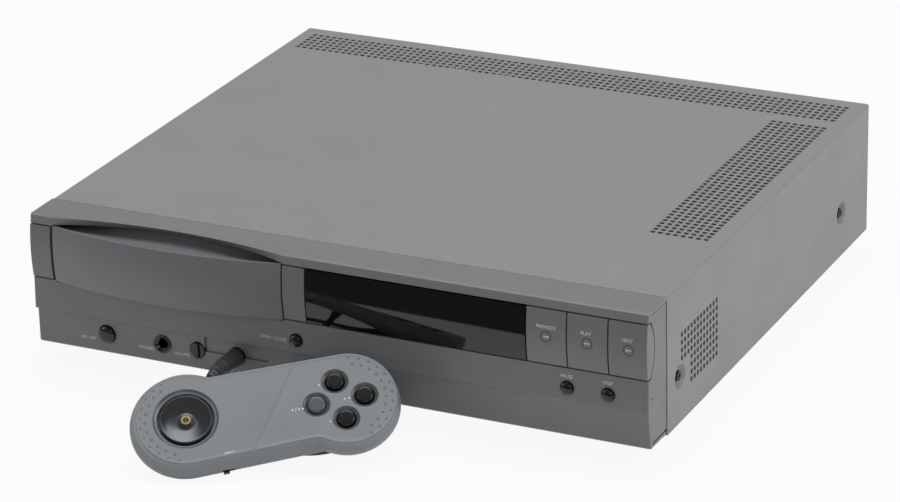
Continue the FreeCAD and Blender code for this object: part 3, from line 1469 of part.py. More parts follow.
def make_pad_board():
    """Pad circuit board with its four rubber domes."""
    board = Part.Face(pad_wire(-3.6, -pad_board_depth)).extrude(Vector(0, 0, pad_board_skin))
    board = board.cut(rod(4.4, (0, 0, -20), (0, 0, 0)))
    relief = rod(4.0, (pad_relief_u, pad_relief_v, -20), (pad_relief_u, pad_relief_v, 0))
    solids = [board.cut(relief)]
    floor = -pad_board_depth + pad_board_skin
    for u, v in pad_button_places.values():
        solids.append(taper(4.2, 3.0, (u, v, floor), (u, v, floor + 0.7)))
    return Part.makeCompound(solids)


def make_pad_cord_relief():
    """Tapered rubber sleeve at the pad's back where the cord goes in."""
    u, v = pad_relief_u, pad_relief_v
    tip = -pad_thickness - pad_relief_length
    sleeve = taper(3.6, cord_diameter / 2 + 0.35, (u, v, -pad_thickness), (u, v, tip))
    neck = rod(2.5, (u, v, -pad_thickness), (u, v, -pad_thickness + pad_skin))
    collar = rod(3.6, (u, v, -pad_thickness + pad_skin), (u, v, -pad_thickness + pad_skin + 1))
    return join([sleeve, neck, collar])


def make_cord_plug():
    """Round plug with grip step and tapered relief, pointing to the viewer."""
    x, z = port_x, lower_row_z
    face = lower_face_y + 0.2
    barrel_end = -plug_length
    tip = barrel_end - relief_length
    collar_end = barrel_end - plug_collar_length
    relief_back = collar_end - plug_groove
    barrel = rod(plug_radius, (x, barrel_end, z), (x, face, z))
    collar = taper(relief_back_radius + 0.6, plug_collar_radius, (x, collar_end, z), (x, barrel_end, z))
    neck = rod(plug_groove_radius, (x, relief_back, z), (x, collar_end, z))
    relief = taper(cord_diameter / 2 + 0.4, relief_back_radius, (x, tip, z), (x, relief_back, z))
    return join([barrel, collar, neck, relief])


# Cord route: points chosen by hand, and a coil of two layers that ends above where it began
floor_z = cord_diameter / 2 + 0.05
layer_step = cord_diameter + 0.5
coil_start = Vector(coil_x, coil_y - coil_outer, floor_z)
lead_points = [
    (port_x, -plug_length - relief_length, lower_row_z),
    (port_x, -42.2, lower_row_z),
    (-68.0, -50.5, 21.4),
    (-67.3, -57.0, 15.1),
    (-64.1, -62.0, 9.0),
    (-58.1, -65.7, 4.3),
    (-50.0, -67.2, floor_z),
    (-40.5, -66.4, floor_z),
    (-29.5, -64.2, floor_z),
    (-18.0, -65.0, floor_z),
    (coil_x - cord_diameter, coil_y - coil_outer, floor_z),
]


def arc_from_corner(start, corner, end):
    """Arc that leaves start and reaches end along the two legs of equal length at corner."""
    chord_middle = (start + end) * 0.5
    half_turn = (corner - start).getAngle(end - start)
    share = math.cos(half_turn) / (1 + math.cos(half_turn))
    return Part.Arc(start, chord_middle + (corner - chord_middle) * share, end).toShape()


def rounded_path(points):
    """Wire of straight runs joined by tangent arcs; returns it with the arcs' radii."""
    points = [Vector(*p) for p in points]
    edges = []
    radii = []
    here = points[0]
    for before, corner, after in zip(points, points[1:], points[2:]):
        way_in = corner - before
        way_out = after - corner
        cut = 0.45 * min(way_in.Length, way_out.Length)
        radii.append(cut / math.tan(way_in.getAngle(way_out) / 2))
        start = corner - way_in.normalize() * cut
        end = corner + way_out.normalize() * cut
        edges.append(Part.LineSegment(here, start).toShape())
        edges.append(arc_from_corner(start, corner, end))
        here = end
    edges.append(Part.LineSegment(here, points[-1]).toShape())
    return Part.Wire(edges), radii


def sweep(path, start, direction, label):
    """Round cord along a wire; prints its volume against section times length."""
    section = Part.Wire(Part.Circle(start, direction, cord_diameter / 2).toShape())
    solid = path.makePipeShell([section], True, False)
    expected = math.pi * cord_diameter ** 2 / 4 * path.Length
    print("%s: length %.1f, volume ratio %.4f" % (label, path.Length, solid.Volume / expected))
    return solid


def make_tube(points, label):
    """Cord along hand-set points, with its radii printed."""
    path, radii = rounded_path(points)
    print("%s radii: %s" % (label, " ".join("%.1f" % r for r in radii)))
    return sweep(path, Vector(*points[0]), Vector(*points[1]) - Vector(*points[0]), label)


def coil_station(turned, radius, z):
    """Point of the coil and its heading, after an angle turned from the front point."""
    angle = math.radians(turned - 90.0)
    point = Vector(coil_x + radius * math.cos(angle), coil_y + radius * math.sin(angle), z)
    return point, Vector(-math.sin(angle), math.cos(angle), 0)


def coil_stations():
    """Stations of the coil: spiral in on the floor, half a turn of climb, spiral out on top."""
    inner = coil_outer - coil_pitch * coil_turns
    steps = int(round(coil_turns * 4))
    stations = []
    for index in range(steps + 1):
        stations.append(coil_station(90.0 * index, coil_outer - coil_pitch * index / 4, floor_z))
    reversed_at = coil_turns * 360.0 + 180.0
    way_out = 360.0 * coil_turns_out
    steps = int(round(way_out / 90.0))
    for index in range(steps + 1):
        turned = way_out * index / steps
        stations.append(coil_station(reversed_at + turned, inner + coil_pitch * turned / 360.0,
                                     floor_z + layer_step))
    return stations


def biarc(start, heading, end, heading_end):
    """Two arcs from start to end that keep both headings."""
    gap = end - start
    a = 2 * (heading.dot(heading_end) - 1)
    b = -2 * gap.dot(heading + heading_end)
    c = gap.dot(gap)
    leg = (-b - math.sqrt(b * b - 4 * a * c)) / (2 * a)
    first = start + heading * leg
    second = end - heading_end * leg
    joint = (first + second) * 0.5
    return [arc_from_corner(start, first, joint), arc_from_corner(joint, second, end)]


def coil_end():
    """Last point of the coil's tube and its heading."""
    point, heading = coil_stations()[-1]
    return point + heading * cord_diameter, heading


def least_gap(path):
    """Least distance between the cord's surface and its own other turns, on points."""
    points = path.discretize(Distance=1.2)
    skip = int(3 * cord_diameter / 1.2)
    least = 1e9
    for i, p in enumerate(points):
        for q in points[i + skip:]:
            least = min(least, (p - q).Length)
    return least - cord_diameter


def make_cord_coil():
    """Coil of the spare cord, lying in two layers on the floor."""
    stations = coil_stations()
    begin = coil_start - Vector(cord_diameter, 0, 0)
    edges = [Part.LineSegment(begin, coil_start).toShape()]
    for (p, t), (q, u) in zip(stations, stations[1:]):
        edges += biarc(p, t, q, u)
    edges.append(Part.LineSegment(stations[-1][0], coil_end()[0]).toShape())
    path = Part.Wire(edges)
    print("cord_coil least gap to itself: %.2f" % least_gap(path))
    return sweep(path, begin, Vector(1, 0, 0), "cord_coil")


def tail_points():
    """From the coil's end up to the sleeve at the pad's back."""
    place = pad_placement()
    tip = place.multVec(Vector(pad_relief_u, pad_relief_v, -pad_thickness - pad_relief_length))
    out = place.Rotation.multVec(Vector(0, 0, -1))
    end, heading = coil_end()
    first = end + heading * tail_first_run
    last = tip + out * tail_last_run
    points = [end, first] + [Vector(*p) for p in tail_middle] + [last, tip]
    return [tuple(p) for p in points]


tail_first_run = 6.6
tail_last_run = 5.0
tail_middle = [(-37.5, -46.2, 9.0), (-34.9, -51.4, 12.3)]


def make_cord_tail():
    """Cord from the coil up to the pad."""
    return make_tube(tail_points(), "cord_tail")


PAD_STEPS = [
    ("pad_top_shell", make_pad_top_shell),
    ("pad_bottom_shell", make_pad_bottom_shell),
    ("pad_disc", make_pad_disc),
    ("pad_disc_insert", make_pad_disc_insert),
    ("pad_pivot_ball", make_pad_pivot_ball),
    ("pad_button_top", lambda: make_pad_button(pad_button_places["top"])),
    ("pad_button_right", lambda: make_pad_button(pad_button_places["right"])),
    ("pad_button_bottom", lambda: make_pad_button(pad_button_places["bottom"])),
    ("pad_button_left", lambda: make_pad_button(pad_button_places["left"])),
    ("pad_speed_switch", make_pad_speed_switch),
    ("pad_board", make_pad_board),
    ("pad_cord_relief", make_pad_cord_relief),
]
LIFT_STEPS = [
    ("traverse_deck", make_traverse_deck),
    ("sled_rails", make_sled_rails),
    ("spindle_motor", make_spindle_motor),
    ("turntable", make_turntable),
    ("laser_sled", make_laser_sled),
    ("pickup_lens", make_pickup_lens),
]
BODY_STEPS = [
    ("top_cover", make_top_cover),
    ("chassis_pan", make_chassis_pan),
    ("feet", make_feet),
    ("rear_panel", make_rear_panel),
    ("rear_jacks", make_rear_jacks),
    ("mains_inlet", make_mains_inlet),
    ("cover_screws", make_cover_screws),
    ("visor", make_visor),
    ("lower_fascia", make_lower_fascia),
    ("front_frame", make_front_frame),
    ("display_window", make_display_window),
    ("key_previous", lambda: make_key(0)),
    ("key_play", lambda: make_key(1)),
    ("key_next", lambda: make_key(2)),
    ("button_open_close", lambda: make_button(open_button_x, upper_row_z, small_button_radius, bezel_y)),
    ("button_pause", lambda: make_button(pause_button_x, upper_row_z, small_button_radius, bezel_y)),
    ("button_stop", lambda: make_button(stop_button_x, upper_row_z, small_button_radius, bezel_y)),
    ("button_power", lambda: make_button(power_button_x, lower_row_z, power_button_radius, lower_face_y)),
    ("volume_knob", make_volume_knob),
    ("phones_jack", make_phones_jack),
    ("controller_port", make_controller_port),
    ("front_board", make_front_board),
    ("front_controls", make_front_controls),
    ("display_tube", make_display_tube),
    ("drawer_front", make_drawer_front),
    ("disc_tray", make_disc_tray),
    ("drive_chassis", make_drive_chassis),
    ("tray_gear", make_tray_gear),
    ("pulley_gear", make_pulley_gear),
    ("motor_pulley", make_motor_pulley),
    ("loading_motor", make_loading_motor),
    ("drive_belt", make_drive_belt),
    ("clamp_bridge", make_clamp_bridge),
    ("clamp_puck", make_clamp_puck),
    ("main_board", lambda: circuit(main_board_left, main_board_right, main_board_front, main_board_back,
                                   main_standoffs)),
    ("power_supply_board", lambda: circuit(supply_left, supply_right, supply_front, main_board_back,
                                           supply_standoffs)),
    ("board_components", make_board_components),
    ("transformer", make_transformer),
    ("cord_plug", make_cord_plug),
    ("cord_lead", lambda: make_tube(lead_points, "cord_lead")),
    ("cord_coil", make_cord_coil),
    ("cord_tail", make_cord_tail),
]


def lift_placement():
    """Turn of the lifting deck about its pivot pins, down from its playing height."""
    pivot = Vector(0, lift_pivot_y, lift_z + lift_skin / 2)
    return FreeCAD.Placement(Vector(0, 0, 0), FreeCAD.Rotation(Vector(1, 0, 0), lift_angle), pivot)


def write_all():
    """Write one STEP file per node, with the origin under the middle of the whole."""
    os.makedirs("parts", exist_ok=True)
    shift = FreeCAD.Placement(Vector(0, origin_y, 0), FreeCAD.Rotation())
    groups = [(BODY_STEPS, FreeCAD.Placement()), (LIFT_STEPS, lift_placement()), (PAD_STEPS, pad_placement())]
    for steps, placement in groups:
        for name, make in steps:
            shape = make()
            shape.Placement = shift.multiply(placement).multiply(shape.Placement)
            shape.exportStep("parts/%s.step" % name)


write_all()
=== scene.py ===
"""Looks of a disc player and its hand pad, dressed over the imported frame.

Shapes are worked out in millimetres in the modelling frame of the part: X to the viewer's right,
Y towards the back with y = 0 at the visor's front edge, Z up from the floor. to_metres moves them
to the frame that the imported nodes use.
"""
import logging
import math
from dataclasses import dataclass, field
from enum import Enum
from typing import Any, Sequence

import bmesh
import bpy
import numpy as np
from mathutils import Matrix, Vector


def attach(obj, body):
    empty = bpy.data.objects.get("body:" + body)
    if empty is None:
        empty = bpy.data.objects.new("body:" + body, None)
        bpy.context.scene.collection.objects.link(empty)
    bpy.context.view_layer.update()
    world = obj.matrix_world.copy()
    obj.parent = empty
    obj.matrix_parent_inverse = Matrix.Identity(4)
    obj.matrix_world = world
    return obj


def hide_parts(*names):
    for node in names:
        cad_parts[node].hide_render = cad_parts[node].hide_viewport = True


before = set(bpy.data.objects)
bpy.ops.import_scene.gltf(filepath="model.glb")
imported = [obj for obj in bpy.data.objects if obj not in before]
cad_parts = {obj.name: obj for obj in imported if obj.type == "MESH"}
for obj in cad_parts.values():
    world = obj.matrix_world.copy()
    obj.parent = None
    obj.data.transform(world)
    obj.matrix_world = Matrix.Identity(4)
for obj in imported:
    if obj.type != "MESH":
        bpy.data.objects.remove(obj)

Tree = bpy.types.NodeTree
Socket = bpy.types.NodeSocket
Point = tuple[float, float, float]
Profile = Sequence[tuple[float, float]]
Faces = Sequence[Sequence[int]]

LOG = logging.getLogger("disc_player")
ORIGIN_Y = -130.24
# Nearly all of a noise texture's values lie between these two
NOISE_LOW, NOISE_HIGH = 0.3, 0.7
# Size of the patches that handling and cleaning leave, and the smoothest that a patch may be
PATCH_MM = 25.0
LEAST_ROUGHNESS = 0.02
# Edges that bend more than this stay crisp on a carved mesh
CARVED_SHARP_DEGREES = 28.0
# A turned profile starts this far from its axis, so that no face shrinks to a line
AXIS_GAP = 0.05
# How far printing stands off its surface
INK_LIFT = 0.05
# Where the lead enters the pad, across and up its face from the thumb disc
PAD_LEAD_PLACE = (34.0, 15.0)


def to_metres(points: np.ndarray) -> np.ndarray:
    """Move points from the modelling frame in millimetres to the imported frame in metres.

    Args:
        points: Array whose last axis is x, y, z in millimetres.

    Returns:
        The same points in metres.
    """
    return (np.asarray(points, float) + np.array([0.0, ORIGIN_Y, 0.0])) / 1000.0


def linear(hex_colour: str) -> tuple[float, float, float, float]:
    """Turn an sRGB hex value into linear light.

    Args:
        hex_colour: Six hex digits after a hash.

    Returns:
        Red, green, blue and an alpha of one.
    """
    values = np.array([int(hex_colour[i:i + 2], 16) for i in (1, 3, 5)]) / 255.0
    curve = np.where(values <= 0.04045, values / 12.92, ((values + 0.055) / 1.055) ** 2.4)
    return (*curve.tolist(), 1.0)


def scaled(colour: tuple[float, ...], share: float) -> tuple[float, float, float, float]:
    """Make a colour lighter or darker.

    Args:
        colour: Red, green, blue and alpha.
        share: What each of the first three is multiplied by, up to white.

    Returns:
        The new colour with an alpha of one.
    """
    return (*[min(1.0, c * share) for c in colour[:3]], 1.0)


def add_node(tree: Tree, kind: str, inputs: dict[Any, Any] | None = None, **settings: Any) -> bpy.types.Node:
    """Add one shader node with its settings, values and links.

    Args:
        tree: Node tree that takes the node.
        kind: Blender's name of the node type.
        inputs: Socket name or number to a value, or to the output socket that feeds it.
        settings: Attributes of the node itself.

    Returns:
        The new node.
    """
    node = tree.nodes.new(kind)
    for name, value in settings.items():
        setattr(node, name, value)
    for key, value in (inputs or {}).items():
        if isinstance(value, Socket):
            tree.links.new(value, node.inputs[key])
        else:
            node.inputs[key].default_value = value
    return node


# Finishes

@dataclass(frozen=True)
class Finish:
    """A surface with a colour that drifts a little, and a fine grain.

    The drift and the grain are noise at a real size: mottle_mm across for the colour and
    grain_mm across for the relief, which stands grain_depth_mm high.
    """

    name: str
    colour: str
    roughness: float
    metallic: float = 0.0
    ior: float = 1.5
    mottle: float = 0.05
    mottle_mm: float = 40.0
    grain_mm: float = 1.2
    grain_depth_mm: float = 0.03
    patchy: float = 0.04
    relief_strength: float = 0.6

    def make(self) -> bpy.types.Material:
        """Build the material once and hand out the same one afterwards."""
        known = bpy.data.materials.get(self.name)
        if known:
            return known
        material = bpy.data.materials.new(self.name)
        material.use_nodes = True
        material.diffuse_color = linear(self.colour)
        tree = material.node_tree
        tree.nodes.clear()
        place = add_node(tree, "ShaderNodeTexCoord").outputs["Object"]
        shader = add_node(tree, "ShaderNodeBsdfPrincipled", {"Metallic": self.metallic, "IOR": self.ior})
        add_node(tree, "ShaderNodeOutputMaterial", {"Surface": shader.outputs[0]})
        tree.links.new(self.tone(tree, place), shader.inputs["Base Color"])
        tree.links.new(self.sheen_map(tree, place), shader.inputs["Roughness"])
        tree.links.new(self.relief(tree, place), shader.inputs["Normal"])
        self.finish_shader(shader)
        return material

    def tone(self, tree: Tree, place: Socket) -> Socket:
        """Colour that drifts between a darker and a lighter share of itself."""
        noise = add_node(tree, "ShaderNodeTexNoise", {"Vector": place, "Scale": 1000.0 / self.mottle_mm,
                                                      "Detail": 4.0, "Roughness": 0.6})
        ramp = add_node(tree, "ShaderNodeMapRange", {
            "Value": noise.outputs["Fac"], "From Min": NOISE_LOW, "From Max": NOISE_HIGH})
        base = linear(self.colour)
        mix = add_node(tree, "ShaderNodeMix", {0: ramp.outputs[0], 6: scaled(base, 1 - self.mottle),
                                               7: scaled(base, 1 + self.mottle)}, data_type="RGBA")
        return mix.outputs[2]

    def sheen_map(self, tree: Tree, place: Socket) -> Socket:
        """Roughness that changes over patches, as handling and cleaning leave it."""
        noise = add_node(tree, "ShaderNodeTexNoise", {
            "Vector": place, "Scale": 1000.0 / PATCH_MM, "Detail": 5.0})
        spread = add_node(tree, "ShaderNodeMapRange", {
            "Value": noise.outputs["Fac"], "From Min": NOISE_LOW, "From Max": NOISE_HIGH,
            "To Min": max(LEAST_ROUGHNESS, self.roughness - self.patchy),
            "To Max": min(1.0, self.roughness + self.patchy)})
        return spread.outputs[0]

    def relief(self, tree: Tree, place: Socket) -> Socket:
        """Grain as a bump of its real depth."""
        bump = add_node(tree, "ShaderNodeBump", {
            "Height": self.grain(tree, place), "Strength": self.relief_strength,
            "Distance": self.grain_depth_mm / 1000.0})
        return bump.outputs[0]

    def grain(self, tree: Tree, place: Socket) -> Socket:
        """Height of a fine, even grain, between 0 and 1."""
        noise = add_node(tree, "ShaderNodeTexNoise", {
            "Vector": place, "Scale": 1000.0 / self.grain_mm, "Detail": 2.0})
        return noise.outputs["Fac"]

    def finish_shader(self, shader: bpy.types.Node) -> None:
        """Room for a finish that sets more of the shader's own sockets."""


@dataclass(frozen=True)
class BrushedMetal(Finish):
    """Metal with fine lines along one axis: noise stretched many times along it."""

    relief_strength: float = 0.5
    along: int = 0
    line_mm: float = 0.5
    stretch: float = 40.0

    def grain(self, tree: Tree, place: Socket) -> Socket:
        """Brush lines, drawn as coarse as line_mm so that they show."""
        scale = [1.0, 1.0, 1.0]
        scale[self.along] = 1.0 / self.stretch
        drawn = add_node(tree, "ShaderNodeMapping", {"Vector": place, "Scale": scale})
        noise = add_node(tree, "ShaderNodeTexNoise", {
            "Vector": drawn.outputs[0], "Scale": 1000.0 / self.line_mm})
        return noise.outputs["Fac"]


@dataclass(frozen=True)
class CircuitLacquer(Finish):
    """Green solder lacquer over copper tracks: a brick pattern gives tracks and pads."""

    track_mm: float = 5.0
    second_share: float = 0.85
    track_share: float = 1.9

    def tone(self, tree: Tree, place: Socket) -> Socket:
        """Lacquer, a little lighter where a track lies under it."""
        base = linear(self.colour)
        bricks = add_node(tree, "ShaderNodeTexBrick", {
            "Vector": place, "Scale": 1000.0 / self.track_mm, "Mortar Size": 0.06, "Brick Width": 1.7,
            "Row Height": 0.42, "Color1": base, "Color2": scaled(base, self.second_share),
            "Mortar": scaled(base, self.track_share)})
        return bricks.outputs["Color"]


@dataclass(frozen=True)
class ClearGlass(Finish):
    """Glass that lets light through, with faint waves left by its drawing."""

    clear: float = 0.85

    def finish_shader(self, shader: bpy.types.Node) -> None:
        """Let most of the light through."""
        shader.inputs["Transmission Weight"].default_value = self.clear


@dataclass(frozen=True)
class TurnedGloss(Finish):
    """Polished plastic from a turned mould: its rings are too fine to see, but they stretch each highlight.

    The rings run round an axis, so light from a lamp spreads into bright sectors, as on a
    turned metal disc.
    """

    centre: Point = (0.0, 0.0, 0.0)
    axis: Point = (0.0, 0.0, 1.0)
    stretch: float = 0.8

    def finish_shader(self, shader: bpy.types.Node) -> None:
        """Lay the shader's grain along the rings: the axis crossed with the way out from it."""
        tree = shader.id_data
        place = add_node(tree, "ShaderNodeTexCoord").outputs["Object"]
        out = add_node(tree, "ShaderNodeVectorMath", {0: place, 1: self.centre}, operation="SUBTRACT")
        round_axis = add_node(tree, "ShaderNodeVectorMath", {0: self.axis, 1: out.outputs[0]},
                              operation="CROSS_PRODUCT")
        along = add_node(tree, "ShaderNodeVectorMath", {0: round_axis.outputs[0]}, operation="NORMALIZE")
        shader.inputs["Anisotropic"].default_value = self.stretch
        tree.links.new(along.outputs[0], shader.inputs["Tangent"])


@dataclass(frozen=True)
class StudioFloor(Finish):
    """Paper floor that the camera sees as white, with the object's shadow kept faintly.

    Polished parts mirror the same white up to a slanted line in front of the object, where the
    paper ends and the studio is dark.
    """

    white: float = 0.92
    dark: float = 0.05
    front_mm: float = -287.0
    slant: float = 0.137
    fade_mm: float = 6.0

    def make(self) -> bpy.types.Material:
        """Mix the paper with plain white light by the kind of ray and the place on the floor."""
        material = super().make()
        tree = material.node_tree
        output = next(node for node in tree.nodes if node.type == "OUTPUT_MATERIAL")
        paper = output.inputs["Surface"].links[0].from_socket
        rays = add_node(tree, "ShaderNodeLightPath").outputs
        place = add_node(tree, "ShaderNodeTexCoord").outputs["Object"]
        split = add_node(tree, "ShaderNodeSeparateXYZ", {"Vector": place}).outputs
        line = add_node(tree, "ShaderNodeMath", {0: split["X"], 1: -self.slant, 2: split["Y"]},
                        operation="MULTIPLY_ADD")
        edge, fade = self.front_mm / 1000.0, self.fade_mm / 1000.0
        near = add_node(tree, "ShaderNodeMapRange", {
            "Value": line.outputs[0], "From Min": edge - fade, "From Max": edge + fade, "To Min": self.dark,
            "To Max": 1.0}, interpolation_type="SMOOTHSTEP")
        through = add_node(tree, "ShaderNodeMath", {0: rays["Is Camera Ray"], 1: rays["Is Transmission Ray"]},
                           operation="MAXIMUM")
        strength = add_node(tree, "ShaderNodeMath", {0: through.outputs[0], 1: near.outputs[0]},
                            operation="MAXIMUM")
        seen = add_node(tree, "ShaderNodeMath", {0: through.outputs[0], 1: rays["Is Glossy Ray"]},
                        operation="MAXIMUM")
        share = add_node(tree, "ShaderNodeMath", {0: seen.outputs[0], 1: self.white}, operation="MULTIPLY")
        light = add_node(tree, "ShaderNodeEmission",
                         {"Color": (1.0, 1.0, 1.0, 1.0), "Strength": strength.outputs[0]})
        mix = add_node(tree, "ShaderNodeMixShader", {0: share.outputs[0], 1: paper, 2: light.outputs[0]})
        tree.links.new(mix.outputs[0], output.inputs["Surface"])
        return material


# Powder-coated folded steel: an even, slightly rough grey that shows faint orange peel
COVER_PAINT = Finish("powder_coated_steel", "#8f8f8f", 0.42, mottle=0.02, mottle_mm=90.0, grain_mm=0.9,
                     grain_depth_mm=0.02)
# Sprayed ABS moulding: satin, a shade darker than the steel
VISOR_SPRAY = Finish("sprayed_abs", "#7e7f80", 0.36, mottle=0.02, mottle_mm=60.0, grain_mm=0.7,
                     grain_depth_mm=0.012)
# Injection-moulded ABS with a spark-eroded grain: dull grey with soft highlights
FASCIA_ABS = Finish("moulded_abs_grey", "#76787b", 0.38, mottle=0.03, mottle_mm=30.0, grain_mm=0.6,
                    grain_depth_mm=0.015)
# The pad's ABS is bluer and paler, and hands have polished it
PAD_ABS = Finish("moulded_abs_blue_grey", "#888c8f", 0.40, mottle=0.03, mottle_mm=25.0, grain_mm=0.5,
                 grain_depth_mm=0.015, patchy=0.06)
# Painted shade: a darker grey for the shade in the cones round the pad's disc and buttons and round its grip
# bumps
PAD_SHADE_ABS = Finish("moulded_abs_painted_shade", "#54575a", 0.3, mottle=0.02, grain_mm=0.5, grain_depth_mm=0.01)
# Smoked acrylic, polished in the mould: near black, mirror-like at a low angle
SMOKED_ACRYLIC = Finish("smoked_acrylic", "#0e0e0f", 0.04, ior=1.55, mottle=0.02, grain_mm=30.0,
                        grain_depth_mm=0.01, patchy=0.01)
# Polished ABS of buttons: black with a crisp highlight
BUTTON_GLOSS = Finish("polished_abs_black", "#141516", 0.2, mottle=0.02, grain_mm=2.0, grain_depth_mm=0.004,
                      patchy=0.03)
# The same in grey, for one button of the pad
GREY_GLOSS = Finish("polished_abs_grey", "#5d6165", 0.2, mottle=0.02, grain_mm=2.0, grain_depth_mm=0.004)
# Moulded parts inside and behind: dull black ABS, natural acetal gears and moulded rubber
BLACK_ABS = Finish("moulded_abs_black", "#1c1d1e", 0.45, mottle=0.04, grain_mm=0.6, grain_depth_mm=0.015)
NATURAL_POM = Finish("moulded_pom_natural", "#d9d8cf", 0.35, mottle=0.02, grain_mm=1.0, grain_depth_mm=0.005)
RUBBER = Finish("moulded_rubber", "#1f1f20", 0.7, mottle=0.06, grain_mm=0.5, grain_depth_mm=0.03)
# PVC cord jacket: matt black with a faint satin line
CORD_PVC = Finish("extruded_pvc_black", "#2e2f30", 0.42, mottle=0.04, mottle_mm=15.0, grain_mm=0.8,
                  grain_depth_mm=0.02)
# The plug's moulding is paler than the cord
SOFT_PVC = Finish("moulded_pvc_grey", "#4c4d4f", 0.44, mottle=0.04, mottle_mm=12.0, grain_mm=0.6,
                  grain_depth_mm=0.02)
# Steel of the back: stoved black paint, even and half dull
BACK_PAINT = Finish("stoved_paint_black", "#2c2d2e", 0.5, mottle=0.03, grain_mm=0.8, grain_depth_mm=0.02)
# Metals: plated and ground steel keep fine lines from rolling and grinding, brass is turned
ZINC_STEEL = BrushedMetal("zinc_plated_steel", "#b9bbb8", 0.38, metallic=1.0, mottle=0.08, mottle_mm=18.0,
                          grain_depth_mm=0.01)
MOTOR_STEEL = BrushedMetal("nickel_plated_steel", "#c4c4c2", 0.3, metallic=1.0, mottle=0.04,
                           grain_depth_mm=0.008, along=2)
GROUND_STEEL = BrushedMetal("ground_steel", "#cfd0d0", 0.16, metallic=1.0, mottle=0.02,
                            grain_depth_mm=0.004, along=1)
BLACK_STEEL = Finish("blackened_steel", "#242424", 0.35, metallic=0.9, mottle=0.08, grain_mm=0.6,
                     grain_depth_mm=0.01)
BRASS = Finish("plated_brass", "#bfae82", 0.25, metallic=1.0, mottle=0.06, mottle_mm=4.0, grain_mm=0.4,
               grain_depth_mm=0.004)
# Varnished iron sheets of the transformer, and green lacquer over copper tracks
CORE_IRON = Finish("varnished_lamination", "#4a4744", 0.45, metallic=0.5, mottle=0.1, mottle_mm=8.0)
CIRCUIT = CircuitLacquer("solder_lacquer", "#1c5a32", 0.3, mottle=0.1, grain_mm=2.0, grain_depth_mm=0.02)
# Glass of the pickup's lens, with a bluish coating, and of the display's tube, tinted
LENS_GLASS = ClearGlass("coated_glass", "#bcd0e8", 0.03, ior=1.52, grain_mm=10.0, grain_depth_mm=0.002,
                        patchy=0.01)
TUBE_GLASS = ClearGlass("tube_glass", "#5c6b66", 0.05, ior=1.52, grain_mm=10.0, grain_depth_mm=0.002,
                        patchy=0.01)
# Pad-printed inks: flat and even
PALE_INK = Finish("printed_ink_pale", "#e4e6e7", 0.6, mottle=0.03, grain_mm=0.3, grain_depth_mm=0.002)
WHITE_INK = Finish("printed_ink_white", "#f0f1f1", 0.55, mottle=0.02, grain_mm=0.3, grain_depth_mm=0.002)
DARK_INK = Finish("printed_ink_dark", "#3b3d40", 0.5, mottle=0.03, grain_mm=0.3, grain_depth_mm=0.002)

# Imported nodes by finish; every other node is of black ABS
FINISHED_NODES: Sequence[tuple[Finish, str]] = (
    (COVER_PAINT, "top_cover"),
    (VISOR_SPRAY, "visor"),
    (FASCIA_ABS, "lower_fascia front_frame drawer_front key_previous key_play key_next"),
    (SMOKED_ACRYLIC, "display_window"),
    (BUTTON_GLOSS, "phones_jack volume_knob"),
    (BACK_PAINT, "rear_panel"),
    (BLACK_STEEL, "cover_screws"),
    (RUBBER, "feet drive_belt"),
    (SOFT_PVC, "pad_cord_relief"),
    (ZINC_STEEL, "chassis_pan traverse_deck clamp_bridge"),
    (MOTOR_STEEL, "spindle_motor loading_motor"),
    (GROUND_STEEL, "sled_rails pad_pivot_ball"),
    (BRASS, "rear_jacks pad_disc_insert"),
    (CORE_IRON, "transformer"),
    (NATURAL_POM, "motor_pulley pulley_gear tray_gear"),
    (CIRCUIT, "main_board power_supply_board front_board pad_board"),
    (LENS_GLASS, "pickup_lens"),
    (TUBE_GLASS, "display_tube"),
)
NODE_FINISHES = {node: finish for finish, nodes in FINISHED_NODES for node in nodes.split()}


# Mesh helpers

def grid_faces(rows: int, columns: int, wrap_columns: bool) -> np.ndarray:
    """Quads of a grid of points.

    Face (i, j) joins points (i, j), (i, j+1), (i+1, j+1) and (i+1, j), and the last column
    joins the first where the grid is closed.

    Args:
        rows: Points in the first direction.
        columns: Points in the second direction.
        wrap_columns: Whether the second direction closes on itself.

    Returns:
        An array of four indices a face.
    """
    i, j = np.meshgrid(np.arange(rows - 1), np.arange(columns if wrap_columns else columns - 1),
                       indexing="ij")
    k = (j + 1) % columns
    corners = [i * columns + j, i * columns + k, (i + 1) * columns + k, (i + 1) * columns + j]
    return np.stack(corners, -1).reshape(-1, 4)


@dataclass
class Piece:
    """One mesh of the scene, with what carries it and what it stands for."""

    name: str
    finish: Finish
    body: str
    slot: str
    replaces: Sequence[str] = ()
    sharp_degrees: float = 35.0

    def build(self, points: np.ndarray, faces: Faces) -> bpy.types.Object:
        """Make the object from points in millimetres.

        Args:
            points: Rows of x, y, z in the modelling frame.
            faces: Indices of each face.

        Returns:
            The object, riding on its body.
        """
        mesh = bpy.data.meshes.new(self.name)
        mesh.from_pydata(to_metres(points).tolist(), [], [list(map(int, f)) for f in faces])
        return self.dress(mesh)

    def dress(self, mesh: bpy.types.Mesh) -> bpy.types.Object:
        """Smooth the mesh, give it its finish and hang it on its body."""
        mesh.validate()
        mesh.shade_smooth()
        mesh.set_sharp_from_angle(angle=math.radians(self.sharp_degrees))
        mesh.materials.clear()
        mesh.materials.append(self.finish.make())
        obj = bpy.data.objects.new(self.name, mesh)
        bpy.context.scene.collection.objects.link(obj)
        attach(obj, self.body)
        if self.replaces:
            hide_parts(*self.replaces)
        LOG.info("piece %s on %s: %d faces", self.name, self.body, len(mesh.polygons))
        return obj


